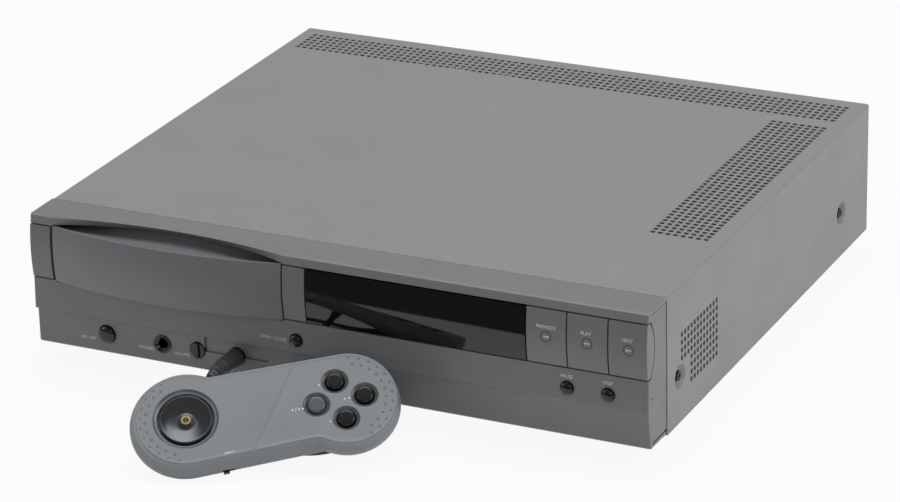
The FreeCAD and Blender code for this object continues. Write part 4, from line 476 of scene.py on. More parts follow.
def carve(obj: bpy.types.Object, cutters: Sequence[bpy.types.Object]) -> None:
    """Cut closed shapes out of an object and throw the cutters away.

    Args:
        obj: Object whose mesh is cut.
        cutters: Closed meshes that are taken out of it.
    """
    for cutter in cutters:
        modifier = obj.modifiers.new("cut", "BOOLEAN")
        modifier.operation = "DIFFERENCE"
        modifier.solver = "EXACT"
        modifier.object = cutter
    bpy.context.view_layer.update()
    depsgraph = bpy.context.evaluated_depsgraph_get()
    mesh = bpy.data.meshes.new_from_object(obj.evaluated_get(depsgraph))
    obj.modifiers.clear()
    old = obj.data
    obj.data = mesh
    bpy.data.meshes.remove(old)
    for cutter in cutters:
        data = cutter.data
        bpy.data.objects.remove(cutter)
        bpy.data.meshes.remove(data)
    mesh.shade_smooth()
    mesh.set_sharp_from_angle(angle=math.radians(CARVED_SHARP_DEGREES))


@dataclass(frozen=True)
class Axes:
    """A place and three directions, in the modelling frame."""

    origin: np.ndarray
    u: np.ndarray
    v: np.ndarray
    n: np.ndarray

    def at(self, u: np.ndarray, v: np.ndarray, n: np.ndarray) -> np.ndarray:
        """Points from their distances along the three directions."""
        u, v, n = np.broadcast_arrays(u, v, n)
        return (self.origin + u[..., None] * self.u + v[..., None] * self.v + n[..., None] * self.n)

    def moved(self, u: float, v: float, n: float = 0.0) -> "Axes":
        """The same directions at another place."""
        return Axes(self.origin + u * self.u + v * self.v + n * self.n, self.u, self.v, self.n)

    def turned(self, degrees: float) -> "Axes":
        """The same place with u and v turned about n."""
        a = math.radians(degrees)
        return Axes(self.origin, self.u * math.cos(a) + self.v * math.sin(a),
                    self.v * math.cos(a) - self.u * math.sin(a), self.n)


def facing_front(x: float, y: float, z: float) -> Axes:
    """Axes whose n points out of the console's front.

    Args:
        x: Place across.
        y: Place from front to back.
        z: Place in height.

    Returns:
        The axes, with u to the right and v up.
    """
    return Axes(np.array([x, y, z]), np.array([1.0, 0, 0]), np.array([0, 0, 1.0]), np.array([0, -1.0, 0]))


def smooth_profile(points: Profile, rounds: int = 2) -> np.ndarray:
    """Round a profile's corners by cutting them twice at a quarter and three quarters.

    Args:
        points: Corners of an open profile.
        rounds: How often the corners are cut.

    Returns:
        The rounded profile with the same ends.
    """
    line = np.array(points, float)
    for _ in range(rounds):
        near = line[:-1] * 0.75 + line[1:] * 0.25
        far = line[:-1] * 0.25 + line[1:] * 0.75
        line = np.vstack([line[:1], np.stack([near, far], 1).reshape(-1, 2)[1:-1], line[-1:]])
    return line


def lathe(axes: Axes, profile: np.ndarray, around: int = 48) -> tuple[np.ndarray, list[list[int]]]:
    """Turn a profile about the n direction.

    Point (i, j) is radius_i (cos a_j, sin a_j) at height_i, with a_j evenly spaced. Flat discs
    close both ends.

    Args:
        axes: Place of the axis and its directions.
        profile: Rows of radius and height.
        around: Points in a full turn.

    Returns:
        Points and faces.
    """
    angle = np.linspace(0.0, 2.0 * np.pi, around, endpoint=False)
    radius, height = profile[:, :1], profile[:, 1:]
    points = axes.at(radius * np.cos(angle), radius * np.sin(angle), height + 0.0 * angle).reshape(-1, 3)
    faces = grid_faces(len(profile), around, True).tolist()
    last = (len(profile) - 1) * around
    faces.append(list(range(around - 1, -1, -1)))
    faces.append([last + j for j in range(around)])
    return points, faces


def turned_ring(axes: Axes, profile: Profile, around: int) -> tuple[np.ndarray, np.ndarray]:
    """Turn a profile about the n direction and join its end to its start, as a ring.

    Args:
        axes: Place of the axis and its directions.
        profile: Rows of radius and height.
        around: Points in a full turn.

    Returns:
        Points and faces.
    """
    line = np.asarray(profile, float)
    angle = np.linspace(0.0, 2.0 * np.pi, around, endpoint=False)
    points = axes.at(line[:, :1] * np.cos(angle), line[:, :1] * np.sin(angle), line[:, 1:] + 0.0 * angle)
    columns = grid_faces(around + 1, len(line), True)
    index = (columns % len(line)) * around + (columns // len(line)) % around
    return points.reshape(-1, 3), index


def cutter_object(points: np.ndarray, faces: Faces) -> bpy.types.Object:
    """Make a closed mesh that is only used to cut, with its faces turned outwards.

    Args:
        points: Rows of x, y, z in the modelling frame.
        faces: Indices of each face.

    Returns:
        The object, which carve throws away.
    """
    mesh = bpy.data.meshes.new("cutter")
    mesh.from_pydata(to_metres(points).tolist(), [], [list(map(int, f)) for f in faces])
    work = bmesh.new()
    work.from_mesh(mesh)
    bmesh.ops.recalc_face_normals(work, faces=work.faces)
    work.to_mesh(mesh)
    work.free()
    obj = bpy.data.objects.new("cutter", mesh)
    bpy.context.scene.collection.objects.link(obj)
    return obj


def block(axes: Axes, low: Sequence[float], high: Sequence[float]) -> tuple[np.ndarray, list[list[int]]]:
    """Box between two corners.

    Args:
        axes: Place and directions that the corners are given in.
        low: Corner with the smaller distances.
        high: Corner with the larger ones.

    Returns:
        Points and faces.
    """
    corners = np.array([[(low, high)[(k >> a) & 1][a] for a in range(3)] for k in range(8)], float)
    faces = [[0, 2, 3, 1], [4, 5, 7, 6], [0, 1, 5, 4], [2, 6, 7, 3], [0, 4, 6, 2], [1, 3, 7, 5]]
    return axes.at(corners[:, 0], corners[:, 1], corners[:, 2]), faces


# Front of the console

@dataclass(frozen=True)
class FrontShape:
    """Where the console's front surfaces are, as functions of height."""

    band_edge_y: float = -1.0
    band_bulge: float = 1.5
    band_bottom_z: float = 57.9
    band_top_z: float = 94.45
    crease_z: float = 36.8
    lean: float = 0.8
    low_face_y: float = 1.2

    def band(self, z: np.ndarray) -> np.ndarray:
        """Front of the band: a circular arc of the bulge's depth between the band's edges."""
        half = (self.band_top_z - self.band_bottom_z) / 2
        radius = (half ** 2 + self.band_bulge ** 2) / (2 * self.band_bulge)
        middle = (self.band_top_z + self.band_bottom_z) / 2
        return self.band_edge_y - self.band_bulge + radius - np.sqrt(radius ** 2 - (z - middle) ** 2)

    def upper(self, z: np.ndarray) -> np.ndarray:
        """Leaning face under the band: a straight line from its top to the crease."""
        return self.band_edge_y - self.lean * (self.band_bottom_z - z) / (self.band_bottom_z - self.crease_z)

    def lower(self, z: np.ndarray) -> np.ndarray:
        """Upright face at the bottom."""
        return self.low_face_y + 0.0 * z


FRONT = FrontShape()


class Face(Enum):
    """The front surfaces that carry printing."""

    BAND = "band"
    UPPER = "upper"
    LOWER = "lower"

    def depth(self, z: np.ndarray) -> np.ndarray:
        """Y of this surface at height z."""
        return getattr(FRONT, self.value)(z)


@dataclass
class Printing:
    """Words and signs printed on the console's front."""

    letter: float = 2.1
    sign_z: float = 76.3
    ring_radii: tuple[float, float] = (2.95, 3.55)
    ring_points: int = 40
    arrow: Profile = (
        (-1.5, 0.75), (-1.5, -0.75), (0.6, 0.0), (0.8, 0.75), (0.8, -0.75), (1.3, -0.75), (1.3, 0.75))
    signs: Sequence[tuple[str, float, float]] = (
        ("key_previous", 145.05, -1.0), ("key_play", 171.55, 1.0), ("key_next", 198.05, 1.0))
    words: Sequence[tuple[str, float, float, float, Face, str]] = (
        ("ON / OFF", -168.6, 20.9, 0.82, Face.LOWER, "console"),
        ("PHONES", -126.2, 20.8, 0.93, Face.LOWER, "console"),
        ("VOLUME", -100.8, 20.8, 0.93, Face.LOWER, "console"),
        ("OPEN / CLOSE", -30.0, 44.3, 0.96, Face.UPPER, "console"),
        ("PREVIOUS", 151.2, 82.6, 0.94, Face.BAND, "key_previous"),
        ("PLAY", 174.4, 82.6, 1.0, Face.BAND, "key_play"),
        ("NEXT", 200.9, 82.6, 0.9, Face.BAND, "key_next"),
        ("PAUSE", 161.6, 52.4, 0.94, Face.UPPER, "console"),
        ("STOP", 187.3, 52.4, 0.9, Face.UPPER, "console"),
    )

    def build(self) -> None:
        """Print every word and the three key signs."""
        for text, right, z, widen, face, body in self.words:
            self.word(text, right, z, widen, face, body)
        for body, x, ahead in self.signs:
            self.sign(body, x, self.sign_z, ahead)

    def word(self, text: str, right: float, z: float, widen: float, face: Face, body: str) -> None:
        """One word that ends at right, centred on z, laid on its surface.

        Args:
            text: What it says.
            right: Where its last letter ends across.
            z: Middle of the letters' height.
            widen: Width of the letters against their usual width.
            face: Surface that carries it.
            body: Body that it rides on.
        """
        flat = letters(text, self.letter, widen)
        xs, zs = flat.co[:, 0] - flat.co[:, 0].max() + right, flat.co[:, 1] + z
        points = np.stack([xs, face.depth(zs) - INK_LIFT, zs], 1)
        name = "print_" + "".join(c.lower() if c.isalnum() else "_" for c in text)
        Piece(name, PALE_INK, body, "fascia_plastic").build(points, flat.faces)

    def sign(self, body: str, x: float, z: float, ahead: float) -> None:
        """Thin ring with a small arrow in it, on a key.

        Args:
            body: Key that carries it.
            x: Middle across.
            z: Middle of its height.
            ahead: 1 for an arrow to the right and -1 for one to the left.
        """
        angle = np.linspace(0, 2 * np.pi, self.ring_points, endpoint=False)
        radii = np.array(self.ring_radii)[:, None]
        zs = (z + radii * np.sin(angle)).ravel()
        xs = (x + radii * np.cos(angle)).ravel()
        points = np.stack([xs, FRONT.band(zs) - INK_LIFT, zs], 1)
        faces = grid_faces(2, self.ring_points, True)
        Piece("ring_" + body, DARK_INK, body, "fascia_plastic").build(points, faces)
        shape = np.array(self.arrow)
        zs = z + shape[:, 1]
        points = np.stack([x + shape[:, 0] * ahead, FRONT.band(zs) - INK_LIFT, zs], 1)
        Piece("arrow_" + body, PALE_INK, body, "fascia_plastic").build(points, [[0, 1, 2], [3, 4, 5, 6]])


@dataclass(frozen=True)
class FlatShape:
    """Points in a plane, in millimetres, and the faces between them."""

    co: np.ndarray
    faces: list[list[int]]


def letters(text: str, height: float, widen: float) -> FlatShape:
    """Outline of a printed word as a flat mesh, centred on its box.

    Args:
        text: What it says.
        height: Height of a capital in millimetres.
        widen: How much wider than usual the letters are.

    Returns:
        The flat shape.
    """
    curve = bpy.data.curves.new("word", "FONT")
    curve.body = text
    curve.resolution_u = 3
    obj = bpy.data.objects.new("word", curve)
    bpy.context.scene.collection.objects.link(obj)
    bpy.context.view_layer.update()
    mesh = bpy.data.meshes.new_from_object(obj.evaluated_get(bpy.context.evaluated_depsgraph_get()))
    co = np.empty(len(mesh.vertices) * 3)
    mesh.vertices.foreach_get("co", co)
    co = co.reshape(-1, 3)[:, :2]
    faces = [list(p.vertices) for p in mesh.polygons]
    bpy.data.objects.remove(obj)
    bpy.data.curves.remove(curve)
    bpy.data.meshes.remove(mesh)
    low, high = co.min(0), co.max(0)
    co = (co - (low + high) / 2) * height / (high[1] - low[1])
    co[:, 0] *= widen
    return FlatShape(co, faces)


@dataclass
class FrontButtons:
    """Domed round buttons of the lower fascia."""

    stand: float = 3.0
    dome: float = 1.7
    axis_gap: float = 0.02
    flange: float = 1.2
    flange_heights: tuple[float, float] = (-2.7, -3.8)
    stem: float = 1.8
    stem_reach: float = 12.9
    places: Sequence[tuple[str, float, float, float, float]] = (
        ("button_open_close", -23.5, 45.1, 4.1, -1.485),
        ("button_pause", 157.9, 45.1, 4.1, -1.485),
        ("button_stop", 184.3, 45.1, 4.1, -1.485),
        ("button_power", -159.7, 25.4, 5.8, 1.2),
    )

    def build(self) -> None:
        """Turn each button about its own axis: a spherical dome on a short barrel."""
        for name, x, z, radius, face_y in self.places:
            axes = facing_front(x, face_y, z)
            t = np.linspace(0.0, 1.0, 14)
            height = self.stand - self.dome + self.dome * np.cos(t * np.pi / 2)
            dome = np.stack([radius * np.sin(t * np.pi / 2), height], 1)
            dome[0, 0] = self.axis_gap
            high, low = self.flange_heights
            body = [(radius, high), (radius + self.flange, high), (radius + self.flange, low),
                    (self.stem, low), (self.stem, face_y - self.stem_reach)]
            profile = np.vstack([dome, np.array(body)])[::-1]
            points, faces = lathe(axes, profile)
            Piece(name + "_cap", BUTTON_GLOSS, name, "black_gloss", [name]).build(points, faces)


# Cord

@dataclass
class Cord:
    """The pad's lead: one smooth line from the plug, through a flat coil, up to the pad."""

    diameter: float = 4.5
    length: float = 1336.0
    coil_x: float = -2.0
    coil_y: float = -29.0
    outer: float = 36.0
    pitch: float = 6.3
    turns_in: float = 3.5
    turns_out: float = 3.75
    floor_z: float = 2.3
    layer: float = 5.0
    points_a_turn: int = 12
    climb_turns: float = 0.5
    leaving: tuple[float, float] = (4.5, 11.1)
    entry_depth: float = 28.0
    entry_run: float = 5.0
    lead: Sequence[Point] = (
        (-67.4, -33.0, 25.4), (-67.4, -42.2, 25.4), (-68.0, -50.5, 21.4), (-67.3, -57.0, 15.1),
        (-64.1, -62.0, 9.0), (-58.1, -65.7, 4.3), (-50.0, -67.2, 2.3), (-40.5, -66.4, 2.3),
        (-29.5, -64.2, 2.3), (-18.0, -65.0, 2.3), (-6.5, -65.0, 2.3))
    tail: Sequence[Point] = ((-37.5, -46.2, 9.0), (-34.9, -51.4, 12.3))

    def coil(self) -> np.ndarray:
        """Control points of the coil: a spiral in, half a turn of climb and a spiral out.

        The radius falls by the pitch a turn, stays while the cord climbs one layer, and grows
        by the pitch a turn. It is divided by the cosine of half a step, because the smooth line
        touches the middles of the runs between its control points.
        """
        total = self.turns_in + self.climb_turns + self.turns_out
        turn = np.arange(0.0, total + 1e-6, 1.0 / self.points_a_turn)
        inner = self.outer - self.pitch * self.turns_in
        out = turn - self.turns_in - self.climb_turns
        radius = np.where(turn < self.turns_in, self.outer - self.pitch * turn,
                          inner + self.pitch * np.maximum(out, 0.0))
        climb = np.clip((turn - self.turns_in) / self.climb_turns, 0.0, 1.0)
        height = self.floor_z + self.layer * climb
        angle = 2 * np.pi * turn - np.pi / 2
        radius = radius / math.cos(math.pi / self.points_a_turn)
        return np.stack([self.coil_x + radius * np.cos(angle), self.coil_y + radius * np.sin(angle),
                         height], 1)

    def route(self, pad: Axes) -> np.ndarray:
        """All control points, from the plug's sleeve to the pad's sleeve."""
        coil = self.coil()
        tip = pad.moved(*PAD_LEAD_PLACE, -self.entry_depth).origin
        last = tip - self.entry_run * pad.n
        heading = np.array([0.0, -1.0, 0.0])
        last_radius = self.outer - self.pitch * (self.turns_in - self.turns_out)
        end = np.array([self.coil_x - last_radius, self.coil_y, self.floor_z + self.layer])
        leaving = np.stack([end + heading * run for run in self.leaving])
        return np.vstack([self.lead, coil[1:-1], leaving, self.tail, last[None], tip[None]])

    def build(self, pad: Axes, plug: bpy.types.Object) -> bpy.types.Object:
        """Args:
            pad: Axes of the hand pad, whose sleeve takes the far end.
            plug: The piece that stands for the plug; not used.

        Returns:
            The curve.
        """
        route = to_metres(self.route(pad))
        curve = bpy.data.curves.new("pad_cord", "CURVE")
        curve.dimensions = "3D"
        spline = curve.splines.new("NURBS")
        spline.points.add(len(route) - 1)
        spline.points.foreach_set("co", np.hstack([route, np.ones((len(route), 1))]).ravel())
        spline.order_u = 3
        spline.use_endpoint_u = True
        spline.resolution_u = 8
        curve.bevel_depth = self.diameter / 2000.0
        curve.bevel_resolution = 5
        curve.use_fill_caps = True
        curve.materials.append(CORD_PVC.make())
        obj = bpy.data.objects.new("pad_cord", curve)
        bpy.context.scene.collection.objects.link(obj)
        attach(obj, "console")
        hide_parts("cord_lead", "cord_coil", "cord_tail")
        LOG.info("cord of %d control points", len(route))
        return obj


@dataclass
class Plug:
    """Round moulded plug with a ribbed sleeve."""

    x: float = -67.4
    z: float = 25.4
    face_y: float = 1.4
    barrel: float = 18.0
    groove: float = 26.3
    tip: float = 33.0
    ribs: int = 2
    rib_height: float = 0.22
    sleeve_radius: float = 3.9
    sleeve_taper: float = 1.2
    sleeve_start: float = 0.7

    def build(self) -> bpy.types.Object:
        """Turn the plug: barrel, narrower collar, groove, and a sleeve whose ribs are a raised cosine."""
        axes = facing_front(self.x, 0.0, self.z)
        b, g = self.barrel, self.groove
        barrel = smooth_profile([(AXIS_GAP, -self.face_y), (5.6, -self.face_y), (5.7, 0.0), (5.7, b - 1.0),
                                 (5.5, b - 0.1), (5.1, b + 0.2), (4.95, b + 1.4), (4.8, g - 1.2),
                                 (4.5, g - 0.1), (3.6, g + 0.1)], 2)
        t = np.linspace(0.0, 1.0, 40)
        ribs = self.rib_height * np.cos(2 * np.pi * (self.ribs * t + 0.5)) * (1 - 0.6 * t)
        radius = self.sleeve_radius - self.sleeve_taper * t + ribs
        sleeve = np.stack([radius, g + self.sleeve_start + t * (self.tip - g - self.sleeve_start)], 1)
        profile = np.vstack([barrel, [(3.25, g + 0.35)], sleeve, [(2.3, self.tip), (AXIS_GAP, self.tip)]])
        points, faces = lathe(axes, profile)
        return Piece("pad_cord_plug", SOFT_PVC, "console", "black_rubber", ["cord_plug"]).build(points, faces)


# Hand pad

# Profiles in millimetres: radius from an axis and height over the pad's face
WELL_CUT = ((AXIS_GAP, -6.2), (17.3, -6.2), (17.3, -1.6), (17.6, -1.3), (19.4, -0.12), (19.9, 0.02),
            (20.4, 0.6), (AXIS_GAP, 0.6))
WELL_RING = ((17.28, -1.7), (17.6, -1.35), (19.3, -0.12), (19.75, 0.03), (19.9, -0.3), (18.0, -1.9))
BUTTON_CUT = ((AXIS_GAP, -6.5), (6.2, -6.5), (6.2, -1.1), (6.5, -0.8), (7.95, -0.12), (8.35, 0.02),
              (8.8, 0.5), (AXIS_GAP, 0.5))
BUTTON_RING = ((6.15, -1.2), (6.5, -0.8), (7.9, -0.1), (8.3, 0.03), (8.5, -0.3), (6.8, -1.4))
CAP = ((AXIS_GAP, 1.25), (3.7, 1.25), (4.5, 1.2), (5.1, 0.75), (5.3, 0.1), (5.3, -2.5), (7.3, -2.5),
       (7.3, -3.7), (4.7, -3.7), (4.7, -9.0), (AXIS_GAP, -9.0))
DISC = ((3.05, -2.0), (4.2, -2.05), (4.6, -2.75), (8.0, -2.45), (12.0, -1.5), (14.6, -0.62), (15.2, -0.5),
        (15.75, -0.6), (15.9, -1.3), (15.9, -3.2), (15.4, -3.7), (4.7, -4.3), (4.6, -7.6), (3.05, -7.6))
LEAD_HOLE = ((AXIS_GAP, -19.0), (2.6, -19.0), (2.6, -13.0), (AXIS_GAP, -13.0))


@dataclass
class HandPad:
    """Two-lobed pad: shells, thumb disc, buttons, grip marks and printing.

    Its axes are u from the disc to the buttons, v up the face and n out of the face.
    """

    lobe: float = 30.2
    spacing: float = 96.8
    right_flare: float = 0.4
    low_slope: float = 4.9
    high_slope: float = 3.0
    notch: float = 9.0
    seam: float = 9.9
    thickness: float = 17.0
    place: Point = (-45.9, -101.1, 31.27)
    azimuth: float = 26.0
    elevation: float = 52.0
    roll: float = 6.64
    well_points: int = 96
    button_points: int = 64
    groove_degrees: float = -29.7
    groove_shift: float = 3.8
    groove_half: float = 60.0
    groove_valley: Profile = ((0.0, -0.42), (1.1, 0.16), (-0.75, 0.16))
    switch_u: float = 22.0
    switch_half: float = 3.8
    word: tuple[str, float, float, float] = ("SPEED", 1.7, 23.6, -26.0)
    dots: Profile = (
        (81.1, 11.0), (95.3, -0.3), (98.1, -0.3), (85.0, -14.1), (63.6, -3.3), (67.5, -3.3), (69.9, -3.3))
    slash: Profile = ((65.0, -4.6), (65.35, -4.6), (66.2, -2.0), (65.85, -2.0))
    buttons: dict[str, tuple[float, float]] = field(default_factory=lambda: {
        "top": (90.8, 12.0), "left": (78.2, -1.9), "right": (107.4, 0.6), "bottom": (94.7, -13.3)})

    def axes(self) -> Axes:
        """Directions from azimuth, elevation and roll, at the middle of the thumb disc."""
        a, e, r = (math.radians(v) for v in (self.azimuth, self.elevation, self.roll))
        n = np.array([math.sin(a) * math.cos(e), -math.cos(a) * math.cos(e), math.sin(e)])
        level = np.array([math.cos(a), math.sin(a), 0.0])
        rise = np.cross(n, level)
        return Axes(np.array(self.place), level * math.cos(r) + rise * math.sin(r),
                    rise * math.cos(r) - level * math.sin(r), n)

    def fillet(self, near: np.ndarray, near_radius: float, far: np.ndarray, far_radius: float, slope: float,
               side: float) -> np.ndarray:
        """Middle of the notch circle that touches a sloped edge and the far lobe from outside.

        The circle's middle lies on a line parallel to the edge and on a circle about the far
        lobe; it is their nearer meeting point.

        Args:
            near: Middle of the lobe that the edge starts on.
            near_radius: That lobe's radius and the notch's together.
            far: Middle of the lobe that the edge runs to.
            far_radius: That lobe's radius and the notch's together.
            slope: Slope of the edge in degrees.
            side: -1 for the lower edge and 1 for the upper one.

        Returns:
            The circle's middle.
        """
        angle = math.radians(slope)
        along = np.array([math.cos(angle), math.sin(angle)])
        normal = np.array([-along[1] * side, along[0] * side])
        start = near + normal * near_radius - far
        b = float(start @ along)
        c = float(start @ start) - far_radius ** 2
        root = math.sqrt(b * b - c)
        t = -b - root if along @ (far - near) > 0 else -b + root
        return near + normal * near_radius + along * t

    def outline(self, offset: float) -> np.ndarray:
        """Closed outline grown by offset: two lobes, two straight edges and two notches.

        The right lobe grows by a smaller share. Each stretch has a fixed count of points, so
        outlines at all offsets match up.

        Args:
            offset: How far out the outline lies from that of the face.

        Returns:
            Rows of u and v.
        """
        left, right = np.array([0.0, 0.0]), np.array([self.spacing, 0.0])
        radius, hollow = self.lobe + offset, self.notch - offset
        right_radius = self.lobe + (offset * self.right_flare if offset > 0 else offset)
        low_mid = self.fillet(left, radius + hollow, right, right_radius + hollow, self.low_slope, -1.0)
        high_mid = self.fillet(right, right_radius + hollow, left, radius + hollow, self.high_slope, 1.0)

        def arc(centre: np.ndarray, r: float, a0: float, a1: float, count: int) -> np.ndarray:
            a = np.linspace(a0, a1, count, endpoint=False)
            return centre + r * np.stack([np.cos(a), np.sin(a)], 1)

        def heading(v: np.ndarray) -> float:
            return math.atan2(v[1], v[0])

        def edge(start: np.ndarray, end: np.ndarray, count: int) -> np.ndarray:
            return start + (end - start) * np.linspace(0, 1, count, endpoint=False)[:, None]

        low_a = math.radians(self.low_slope) - math.pi / 2
        high_a = math.radians(self.high_slope) + math.pi / 2
        low_start = left + radius * np.array([math.cos(low_a), math.sin(low_a)])
        low_end = low_mid - hollow * np.array([math.cos(low_a), math.sin(low_a)])
        to_right = heading(right - low_mid)
        high_start = right + right_radius * np.array([math.cos(high_a), math.sin(high_a)])
        high_end = high_mid - hollow * np.array([math.cos(high_a), math.sin(high_a)])
        to_left = heading(left - high_mid)
        high_back = high_a + math.pi
        return np.vstack([
            edge(low_start, low_end, 18),
            arc(low_mid, hollow, low_a + math.pi, to_right, 12),
            arc(right, right_radius, to_right + math.pi - 2 * math.pi, high_a, 72),
            edge(high_start, high_end, 18),
            arc(high_mid, hollow, high_back - 2 * math.pi, to_left, 12),
            arc(left, radius, to_left + math.pi, low_a + 2 * math.pi, 72),
        ])

    def shell(self, profile: np.ndarray) -> tuple[np.ndarray, list[list[int]]]:
        """Carry a profile of offset and height round the outline, and close both ends flat.

        Args:
            profile: Rows of offset and height along n.

        Returns:
            Points and faces.
        """
        axes = self.axes()
        loops = [self.outline(offset) for offset, _ in profile]
        columns = len(loops[0])
        rings = [axes.at(loop[:, 0], loop[:, 1], np.full(columns, h)) for loop, (_, h) in zip(loops, profile)]
        points = np.vstack(rings)
        faces = grid_faces(len(profile), columns, True).tolist()
        last = (len(profile) - 1) * columns
        faces.append(list(range(columns - 1, -1, -1)))
        faces.append([last + j for j in range(columns)])
        return points, faces

    def build_top_shell(self) -> None:
        """Upper shell with the disc's well, the buttons' holes and the slanted groove cut in."""
        s = self.seam
        outer = smooth_profile([(-3.4, 0.0), (-2.2, 0.0), (-1.4, 0.1), (-0.6, 0.12), (-0.05, -0.5),
                                (0.1, -1.6), (0.6, -3.6), (2.0, -5.6), (3.5, -7.6), (4.05, -s + 0.7),
                                (3.6, -s)], 2)
        inner = smooth_profile([(3.0, -s), (1.6, -s), (0.6, -7.6), (-1.6, -7.5), (-2.6, -7.4)], 1)
        points, faces = self.shell(np.vstack([outer, inner]))
        piece = Piece("pad_upper_shell", PAD_ABS, "hand_pad", "pad_plastic", ["pad_top_shell"])
        obj = piece.build(points, faces)
        axes = self.axes()
        cutters = [cutter_object(*lathe(axes, smooth_profile(WELL_CUT, 1), self.well_points))]
        for u, v in self.buttons.values():
            hole = lathe(axes.moved(u, v), smooth_profile(BUTTON_CUT, 1), self.button_points)
            cutters.append(cutter_object(*hole))
        middle = axes.moved(self.spacing / 2 + self.groove_shift, 0.0)
        slant = middle.turned(self.groove_degrees)
        valley = np.array(self.groove_valley)
        far = self.groove_half
        ends = [slant.at(valley[:, 0], np.full(3, v), valley[:, 1]) for v in (-far, far)]
        wedge = [[0, 1, 2], [5, 4, 3], [0, 3, 4, 1], [1, 4, 5, 2], [2, 5, 3, 0]]
        cutters.append(cutter_object(np.vstack(ends), wedge))
        carve(obj, cutters)
        self.build_rings()

    def build_rings(self) -> None:
        """Cones in the disc's well and round each button, as thin rings on the shell, in a grey darkened for
        painted shade.
        """
        rings = [("pad_well_ring", (0.0, 0.0), WELL_RING, self.well_points)]
        for name, place in self.buttons.items():
            rings.append(("pad_ring_" + name, place, BUTTON_RING, self.button_points))
        for name, place, profile, around in rings:
            points, faces = turned_ring(self.axes().moved(*place), profile, around)
            # The darker grey paints the shade in the cones
            Piece(name, PAD_SHADE_ABS, "hand_pad", "pad_plastic").build(points, faces)

    def build_bottom_shell(self) -> None:
        """Lower shell with a soft bottom edge and the slot of the speed switch."""
        s, t = self.seam, self.thickness
        outer = smooth_profile([(-6.0, -t), (-3.4, -t), (0.9, -15.6), (3.5, -12.8), (4.05, -s - 0.7),
                                (3.6, -s)], 2)[::-1]
        inner = smooth_profile([(-3.0, -t + 2.2), (-0.6, -13.8), (1.4, -12.0), (1.7, -s)], 1)[::-1]
        points, faces = self.shell(np.vstack([inner[::-1], outer]))
        piece = Piece("pad_lower_shell", PAD_ABS, "hand_pad", "pad_plastic", ["pad_bottom_shell"])
        obj = piece.build(points, faces)
        axes = self.axes()
        edge = self.lobe + 4.0
        a, half = math.radians(self.low_slope), self.switch_half
        along = (self.switch_u - edge * math.sin(a)) / math.cos(a)
        slot = block(axes.turned(self.low_slope), (along - half, -edge - 3.0, -s - 2.8),
                     (along + half, -edge + 8.0, -s + 1.0))
        hole = lathe(axes.moved(*PAD_LEAD_PLACE), np.array(LEAD_HOLE), 32)
        carve(obj, [cutter_object(*slot), cutter_object(*hole)])

    def build_disc(self) -> None:
        """Dished thumb disc: its face is a shallow bowl with a raised rim and a boss in the middle."""
        axes = self.axes()
        gloss = TurnedGloss("turned_abs_black", "#46494c", 0.2, metallic=0.7, mottle=0.02,
                            grain_depth_mm=0.002, patchy=0.02, centre=tuple(to_metres(axes.origin)),
                            axis=tuple(axes.n), stretch=0.9)
        points, faces = turned_ring(axes, smooth_profile(DISC, 2), self.well_points)
        Piece("thumb_disc", gloss, "pad_disc", "black_gloss", ["pad_disc"]).build(points, faces[:, ::-1])

    def build_buttons(self) -> None:
        """Four caps: a flat top with a rounded edge on a short barrel."""
        for name, (u, v) in self.buttons.items():
            profile = smooth_profile(CAP, 2)[::-1]
            finish = GREY_GLOSS if name == "left" else BUTTON_GLOSS
            slot = "grey_gloss" if name == "left" else "black_gloss"
            node = "pad_button_" + name
            Piece(node + "_cap", finish, node, slot, [node]).build(*lathe(self.axes().moved(u, v), profile))

    def build_marks(self) -> None:
        """Grip bumps on both lobes, each on a flat darker disc that paints its shadow, white dots and the
        speed label.
        """
        right = self.grips(82.0, -66.0, -6.7, 27.3, 23.3) + np.array([self.spacing, 0.0])
        centres = np.vstack([right, self.grips(115.0, 257.0, 7.05, 27.7, 24.0)])
        # Painted shadow: a flat, darker disc under each grip bump
        self.domes("pad_bump_painted_shadows", centres, 0.85, 0.015, PAD_SHADE_ABS)
        self.domes("pad_grip_bumps", centres, 0.55, 0.28, PAD_ABS)
        self.domes("pad_white_dots", np.array(self.dots), 0.55, INK_LIFT, WHITE_INK)
        self.flat("pad_slash", self.axes(), np.array(self.slash), [[0, 1, 2, 3]])
        text, height, u, v = self.word
        word = letters(text, height, 1.0)
        self.flat("print_speed", self.axes().moved(u, v).turned(self.low_slope), word.co, word.faces)

    def flat(self, name: str, axes: Axes, co: np.ndarray, faces: Faces) -> None:
        """White printing that lies just over the face.

        Args:
            name: Name of the piece.
            axes: Place and directions of the printing.
            co: Rows of its own u and v.
            faces: Indices of each face.
        """
        points = axes.at(co[:, 0], co[:, 1], np.full(len(co), INK_LIFT))
        Piece(name, WHITE_INK, "hand_pad", "pad_plastic").build(points, faces)

    @staticmethod
    def grips(first: float, last: float, step: float, outer: float, inner: float) -> np.ndarray:
        """Places of the grip bumps round a lobe, where every other bump stands further in.

        Args:
            first: Angle of the first bump in degrees.
            last: Angle that no bump reaches.
            step: Angle between two bumps.
            outer: Radius of the first bump's row.
            inner: Radius of the other row.

        Returns:
            Rows of u and v from the lobe's middle.
        """
        angle = np.radians(np.arange(first, last, step))
        radius = np.where(np.arange(len(angle)) % 2 == 0, outer, inner)
        return np.stack([radius * np.cos(angle), radius * np.sin(angle)], 1)

